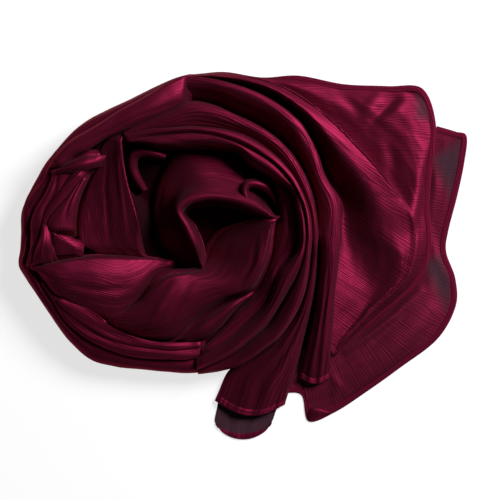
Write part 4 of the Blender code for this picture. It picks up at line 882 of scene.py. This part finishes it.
def satin(name, deep, bright, metallic, roughness, specular=0.2, alpha=1.0, sheer=None):
    """Crinkled satin, from the cloth's own lengths. The relief is two sets of sine ribs across the cloth
    that wander by a noise, the coarse ones stronger and weaker by another, and fine streaks of yarn. The
    ribs paint shade and highlight into the colour, the deep colour in their troughs and the bright one on
    their tops, and a broad streak varies the tone at random. Where a single layer shows sheer, the cloth
    takes the sheer colour, painted light of the white table showing through, and loses its metal."""
    made = bpy.data.materials.new(name)
    made.use_nodes = True

    def node(kind, values, output=0, **settings):
        """A new node of this kind, set and fed. Gives one of its outputs."""
        new = made.node_tree.nodes.new("ShaderNode" + kind)
        for key, setting in settings.items():
            setattr(new, key, setting)
        feed(new, values)
        return new.outputs[output]

    def streaks(along_scale, across_scale, detail=1.0):
        """Noise drawn out along the cloth: its scales are in turns per metre."""
        stretched = node("Mapping", {"Vector": lengths, "Scale": (along_scale, across_scale, 1.0)})
        return node("TexNoise", {"Vector": stretched, "Scale": 1.0, "Detail": detail, "Distortion": 0.0},
                    noise_dimensions="2D")

    def maths(operation, *values):
        """One step of arithmetic."""
        return node("Math", dict(enumerate(values)), operation=operation)

    def blend(factor, first, second):
        """Colour from the first at 0 to the second at 1."""
        return node("Mix", {"Factor": factor, 6: first, 7: second}, 2, data_type="RGBA", clamp_factor=True)

    def ribs(pitch, sway):
        """Sine of the distance across, a turn for each pitch, shifted by the wander."""
        shift = maths("MULTIPLY", wander, sway)
        return maths("SINE", maths("MULTIPLY_ADD", across, 2 * math.pi / pitch, shift))

    lengths = node("UVMap", {}, uv_map="cloth")
    across = node("SeparateXYZ", {"Vector": lengths}, "Y")
    wander, strength, soft = streaks(14, 70), streaks(26, 240, 1.5), streaks(9, 34)
    coarse = maths("MULTIPLY", ribs(RIB_PITCH, RIB_SWAY), maths("MULTIPLY_ADD", strength, *RIB_STRENGTH))
    crinkle = maths("ADD", coarse, maths("MULTIPLY", ribs(FINE_PITCH, FINE_SWAY), FINE_RIBS))
    relief = maths("ADD", crinkle, maths("MULTIPLY", streaks(80, 1500), YARN))
    # painted shade and highlight: the colour follows the crinkle's ribs, lighter on their tops and darker in
    # their troughs
    tone = maths("MULTIPLY_ADD", crinkle, RIB_PAINTED_SHADE, TONE_LEVEL)
    tone = maths("ADD", tone, maths("MULTIPLY", soft, TONE_SOFT))
    colour = blend(tone, (*deep, 1.0), (*bright, 1.0))
    # painted light: where a single layer is sheer, the colour turns to that of the white table showing
    # through
    if sheer is not None:
        seen = node("Attribute", {}, "Fac", attribute_name="sheer")
        colour = blend(seen, colour, (*sheer, 1.0))
        metallic = maths("MULTIPLY_ADD", seen, -metallic, metallic)
    feed(made.node_tree.nodes["Principled BSDF"], {
        "Base Color": colour, "Metallic": metallic, "Roughness": roughness, "Alpha": alpha,
        "Specular IOR Level": specular, "Specular Tint": HIGHLIGHT, "Sheen Weight": SHEEN,
        "Sheen Roughness": SHEEN_ROUGHNESS, "Sheen Tint": SHEEN_TINT,
        "Normal": node("Bump", {"Strength": 1.0, "Distance": BUMP_DEPTH, "Height": relief}, "Normal")})
    return made


TABLE_SHOW_THROUGH_PAINT = (0.042, 0.017, 0.026)  # painted light: the white table showing through the single layer, painted into the cloth's colour
SATIN_LOOK = satin("satin", (0.080, 0.0032, 0.0155), (0.180, 0.0090, 0.038), 0.85, 0.53, sheer=TABLE_SHOW_THROUGH_PAINT)
# painted shade: the hidden heap is the same cloth, coloured near black for the shade that falls in the
# hollows
HEAP_PAINTED_SHADE_LOOK = satin("satin_painted_shade", (0.010, 0.0005, 0.0020), (0.024, 0.0011, 0.0050), 0.5, 0.7, 0.05)
SHEER_LOOK = satin("satin_single", (0.080, 0.004, 0.016), (0.150, 0.009, 0.032), 0.8, 0.58, alpha=0.97,
                   sheer=TABLE_SHOW_THROUGH_PAINT)
HEM_LOOK = satin("satin_hem", (0.080, 0.0024, 0.0145), (0.165, 0.0075, 0.034), 0.85, 0.58)

# Where a single layer shows sheer, with the white table's light painted showing through: the corners x, y of
# each patch.
SHEER_PATCHES = {
    "end_under": [
        [(434, 158), (461, 139), (463, 165), (451, 196)],
        [(423, 262), (441, 257), (453, 282), (448, 310)]],
    "end_broad": [
        [(418, 91), (428, 95), (432, 119), (419, 115)]],
    "tail_sheer": [
        [(200, 400), (290, 400), (290, 450), (200, 450)]],
}
SHEER_FADE = 12.0  # mm over which a patch fades out

# The crinkle of the broad end runs straight over the table: its turn in degrees below the x axis, on the
# roll and behind it.
ROLL_CRINKLE, BACK_CRINKLE = 33.0, 2.0
ROLL_EDGE_SHARE = 0.62  # where the roll's crease is, as a share of the sections' points


def sheerness(name, surface):
    """From 0 to 1 at each point: how far it is inside every side of a patch, over the fade."""
    amount = np.zeros(surface.shape[:2])
    for corners in SHEER_PATCHES.get(name, ()):
        inside = np.full(amount.shape, np.inf)
        for (ax, ay), (bx, by) in zip(corners, corners[1:] + corners[:1]):
            side = (bx - ax) * (surface[..., 1] - ay) - (by - ay) * (surface[..., 0] - ax)
            inside = np.minimum(inside, side / math.hypot(bx - ax, by - ay))
        amount = np.maximum(amount, np.clip(0.5 + inside / SHEER_FADE, 0, 1))
    return amount


def crinkle_lengths(name, surface, along, across):
    """Distances in mm along and across the crinkle, at each point."""
    if name == "end_under":
        return across, along
    if name != "end_broad":
        return along, across
    columns = np.linspace(0, 1, surface.shape[1])
    turn = np.radians(np.where(columns < ROLL_EDGE_SHARE, ROLL_CRINKLE, BACK_CRINKLE))
    x, y = surface[..., 0], surface[..., 1]
    return x * np.cos(turn) + y * np.sin(turn), y * np.cos(turn) - x * np.sin(turn)


laid = []  # every surface of cloth that has been laid, for the heap to stay under


def lay_cloth(name, surface, seed, held="folded", rests_on=("cloth_core",), finish=SATIN_LOOK,
              slot="wine_satin", skirts=(SKIRT, SKIRT)):
    """One stretch of cloth as a piece, creased and with its skirts. Gives the creased surface."""
    surface = creased(name, surface, seed)
    shaped = skirted(surface, *skirts)
    along, across = flat_lengths(shaped)
    piece = shell("cloth_" + name, shaped, *crinkle_lengths(name, shaped, along, across), finish, slot,
                  sheer=sheerness(name, shaped))
    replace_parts(piece, name)
    laid.append(shaped)
    return surface


def hem_on(surface, width):
    """The two edges of a hem that carries on the last section of a stretch, the way the stretch runs."""
    run = unit((surface[-1] - surface[-4]) * (1, 1, 0))
    return surface[-1] - run, surface[-1] + run * width


def fine_band(inner, outer, count=13):
    """The hem across: a low flat band, rounded down at both edges by a power of half a sine."""
    share = np.linspace(0, 1, count)
    points = inner[:, None] + (outer - inner)[:, None] * share[:, None]
    points[..., 2] += HEM_RISE + HEM_PROUD * np.sin(math.pi * share) ** HEM_POWER
    return points


HEAP_CELL = 2.0  # mm between the places where the heap's height is worked out
HEAP_SIZE = 520  # mm that they cover, each way
HEAP_NEAR = 3  # cells within which the lowest cloth counts
HEAP_OPEN = 12.0  # height where there is no cloth near
HEAP_SMOOTH = 14  # times that the heights are smoothed, each time rising by 1 mm at most
HEAP_UNDER = 2.6  # how far it stays under the cloth above it, in mm
HEAP_LEAST = 3.0  # its least height
HEAP_ANGLE, HEAP_RINGS = 1.5, 77  # degrees between its spokes, and points on each
RING_POWER = 0.8  # under 1, the points draw together towards the rim
HEAP_SIDE = (0.6, 0.25, 0.0)  # its outer wall, as shares of the height of its rim
LINE_START = 272  # angles over this are counted as below 0 in the coil's own rim line
HEAP_RADIUS = 120  # of the ring along which its cloth is measured, in mm


def neighbours(heights):
    """A grid moved by one cell each way, four times."""
    return [np.roll(heights, move, (0, 1)) for move in ((1, 0), (-1, 0), (0, 1), (0, -1))]


def hidden_heap():
    """The hidden layers as one soft mound out to the coil's rim line: on a square grid, the lowest cloth
    near each cell, less a gap, smoothed, and read between the cells on spokes about the middle."""
    count = int(HEAP_SIZE / HEAP_CELL)
    low = np.full((count, count), np.inf)
    for surface in laid:
        at = np.round(surface[..., :2].reshape(-1, 2) / HEAP_CELL).astype(int)
        np.minimum.at(low, (at[:, 0], at[:, 1]), surface[..., 2].ravel())
    for _ in range(HEAP_NEAR):
        low = np.minimum.reduce([low, *neighbours(low)])
    known = np.isfinite(low)
    low = np.where(known, low, HEAP_OPEN)
    for _ in range(HEAP_SMOOTH):
        low = np.minimum(sum(neighbours(low), low) / 5, np.where(known, low + 1.0, np.inf))
    angles = np.arange(0, 360, HEAP_ANGLE)
    rim = radius_of("core_rim", np.where(angles > LINE_START, angles - 360, angles))
    share = np.linspace(0, 1, HEAP_RINGS) ** RING_POWER
    plan = ring_points(np.repeat(angles, len(share)), np.outer(rim, share).ravel())
    at = plan / HEAP_CELL
    i, j = np.floor(at).astype(int).T
    fx, fy = at.T - (i, j)
    z = (low[i, j] * (1 - fx) * (1 - fy) + low[i + 1, j] * fx * (1 - fy) + low[i, j + 1] * (1 - fx) * fy
         + low[i + 1, j + 1] * fx * fy)
    top = with_heights(plan, np.maximum(z - HEAP_UNDER, HEAP_LEAST)).reshape(len(angles), len(share), 3)
    side = np.repeat(top[:, -1:], len(HEAP_SIDE), 1)
    side[..., 2] = top[:, -1:, 2] * HEAP_SIDE
    sheet = np.concatenate([top, side], 1)
    around, across = sheet.shape[:2]
    first = np.arange(around)[:, None] * across + np.arange(across - 1)
    second = (np.arange(around)[:, None] + 1) % around * across + np.arange(across - 1)
    faces = np.stack([first, second, second + 1, first + 1], -1).reshape(-1, 4)[:, ::-1]
    run = np.repeat(np.radians(angles) * HEAP_RADIUS, across)
    out = np.append(0.0, np.cumsum(np.linalg.norm(np.diff(sheet[0], axis=0), axis=1)))
    # the heap takes the near-black painted shade
    return mesh_object("cloth_core", sheet.reshape(-1, 3), faces, run, np.tile(out, around), HEAP_PAINTED_SHADE_LOOK)


# ---- the hijab -------------------------------------------------------------------------------------
# How fine the stretches are: sections along and points across, or the step along and points across.
FOLD_GRID = (1.1, 60)  # degrees
TURN_STEP, TURN_ROWS = 1.2, 12  # degrees in the turn, and sections to each row of its end
PANEL_GRID, SMALL_GRID, SMALL_PANELS = (110, 70), (60, 40), ("leaf_small", "tuck_left")
PETAL_GRID, RIDGE_GRID, FLAP_GRID = (160, 90), (60, 24), (40, 24)
UNDER_GRID, SHEER_GRID = (260, 70), (60, 60)
STRAND_POINTS, TAIL_POINTS = 100, 112
BROAD_GRID = (230, 9)  # sections, and points to each span's step

for seed, name in enumerate(FOLDS):
    hang = (0.0, SKIRT) if name in RIMS else (SKIRT, SKIRT)
    lay_cloth(name, ring_fold(name, *FOLD_GRID), seed, skirts=hang)
panels = {name: panel_surface(rows, *(SMALL_GRID if name in SMALL_PANELS else PANEL_GRID))
          for name, rows in PANELS.items()}
for seed, (name, surface) in enumerate(panels.items(), 20):
    lay_cloth(name, aproned(surface, APRON_SHARES.get(name, (1.0, 1.0))), seed)
lay_cloth("petal_eye", aproned(eye_petal(*PETAL_GRID), APRON_SHARES["petal_eye"]), 31)
for seed, (name, rows) in enumerate(RIDGES.items(), 33):
    lay_cloth(name, small_fold(rows, *RIDGE_GRID), seed)

on_under, on_sheer = ["cloth_core", "cloth_end_under"], ["cloth_core", "cloth_tail_sheer"]
single = {"finish": SHEER_LOOK, "slot": "wine_satin_single", "skirts": (0.0, 0.0)}
broad, broad_hem = broad_end(*BROAD_GRID)
under, under_hem = under_end(*UNDER_GRID)
strand = turn_and_end(STRAND_TURN, STRAND_END, TURN_STEP, TURN_ROWS, STRAND_POINTS)
tail_left = turn_and_end(TAIL_TURN, TAIL_END, TURN_STEP, TURN_ROWS, TAIL_POINTS)
ends = {"strand": lay_cloth("strand", strand, 40, "laid", on_under),
        "tail_left": lay_cloth("tail_left", tail_left, 41, "laid", on_sheer)}
lay_cloth("end_broad", broad, 42, "laid", on_under, skirts=(SKIRT, 0.0))
lay_cloth("end_under", under, 43, "laid", [], **single)
ends["tail_sheer"] = lay_cloth("tail_sheer", sheer_tail(*SHEER_GRID), 44, "laid", [], **single)

hems = {name: hem_on(surface, HEM_WIDTHS[name]) for name, surface in ends.items()}
hems |= {"end_broad": broad_hem, "end_under": under_hem}
trims = {}
for name, edges in hems.items():
    band = fine_band(*edges)
    piece = shell("hem_of_" + name, band, *flat_lengths(band), HEM_LOOK, "wine_hem")
    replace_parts(piece, "hem_" + name)
    trims["cloth_" + name] = [piece]
flap = creased("corner_flap", panel_surface(CORNER_FLAP, *FLAP_GRID, FLAP_ROLL_WIDTH), 47)
trims["cloth_end_under"].append(
    shell("corner_flap", flap, *flat_lengths(flap), SATIN_LOOK, "wine_satin", FLAP_WALL))
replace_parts(hidden_heap(), "core")

# ---- table, light and camera -----------------------------------------------------------------------
TABLE_HALF = 4.0  # metres
CAMERA_HEIGHT = 4.0
FRAME_WIDTH = 0.5  # what the picture spans, in metres, on a level this high over the table
FRAME_LEVEL = 0.015
FRAME_CENTRE = (250.0, 250.0, CAMERA_HEIGHT / MM)
SENSOR = 36.0

floor_mesh = bpy.data.meshes.new("table")
corners = [(x * TABLE_HALF, y * TABLE_HALF, 0) for x, y in ((-1, -1), (1, -1), (1, 1), (-1, 1))]
floor_mesh.from_pydata(corners, [], [(0, 1, 2, 3)])
floor_look = bpy.data.materials.new("table")
floor_look.use_nodes = True
feed(floor_look.node_tree.nodes["Principled BSDF"], {
    "Base Color": (0.32, 0.32, 0.32, 1), "Roughness": 0.9, "Specular IOR Level": 0.1,
    "Emission Color": (1, 1, 1, 1), "Emission Strength": 0.74})
floor_mesh.materials.append(floor_look)
added("table", floor_mesh)

world = bpy.data.worlds.new("studio")
bpy.context.scene.world = world
world.use_nodes = True
feed(world.node_tree.nodes["Background"], {"Color": (1, 1, 1, 1), "Strength": 0.03})


def area_light(name, azimuth, elevation, distance, size, watts):
    """A round soft light at these angles and this distance, turned to face the origin."""
    data = bpy.data.lights.new(name, "AREA")
    data.shape = "DISK"
    data.size = size
    data.energy = watts
    light = added(name, data)
    a, e = math.radians(azimuth), math.radians(elevation)
    light.location = (distance * math.cos(e) * math.cos(a), distance * math.cos(e) * math.sin(a),
                      distance * math.sin(e))
    light.rotation_euler = (math.pi / 2 - e, 0, a + math.pi / 2)


area_light("key", azimuth=37, elevation=39, distance=2.4, size=1.15, watts=90)

camera_data = bpy.data.cameras.new("camera")
camera_data.sensor_width = SENSOR
camera_data.lens = SENSOR * (CAMERA_HEIGHT - FRAME_LEVEL) / FRAME_WIDTH
camera_data.clip_end = 20
camera = added("camera", camera_data)
camera.location = placed(FRAME_CENTRE)
bpy.context.scene.camera = camera
bpy.context.scene.view_settings.view_transform = "Standard"
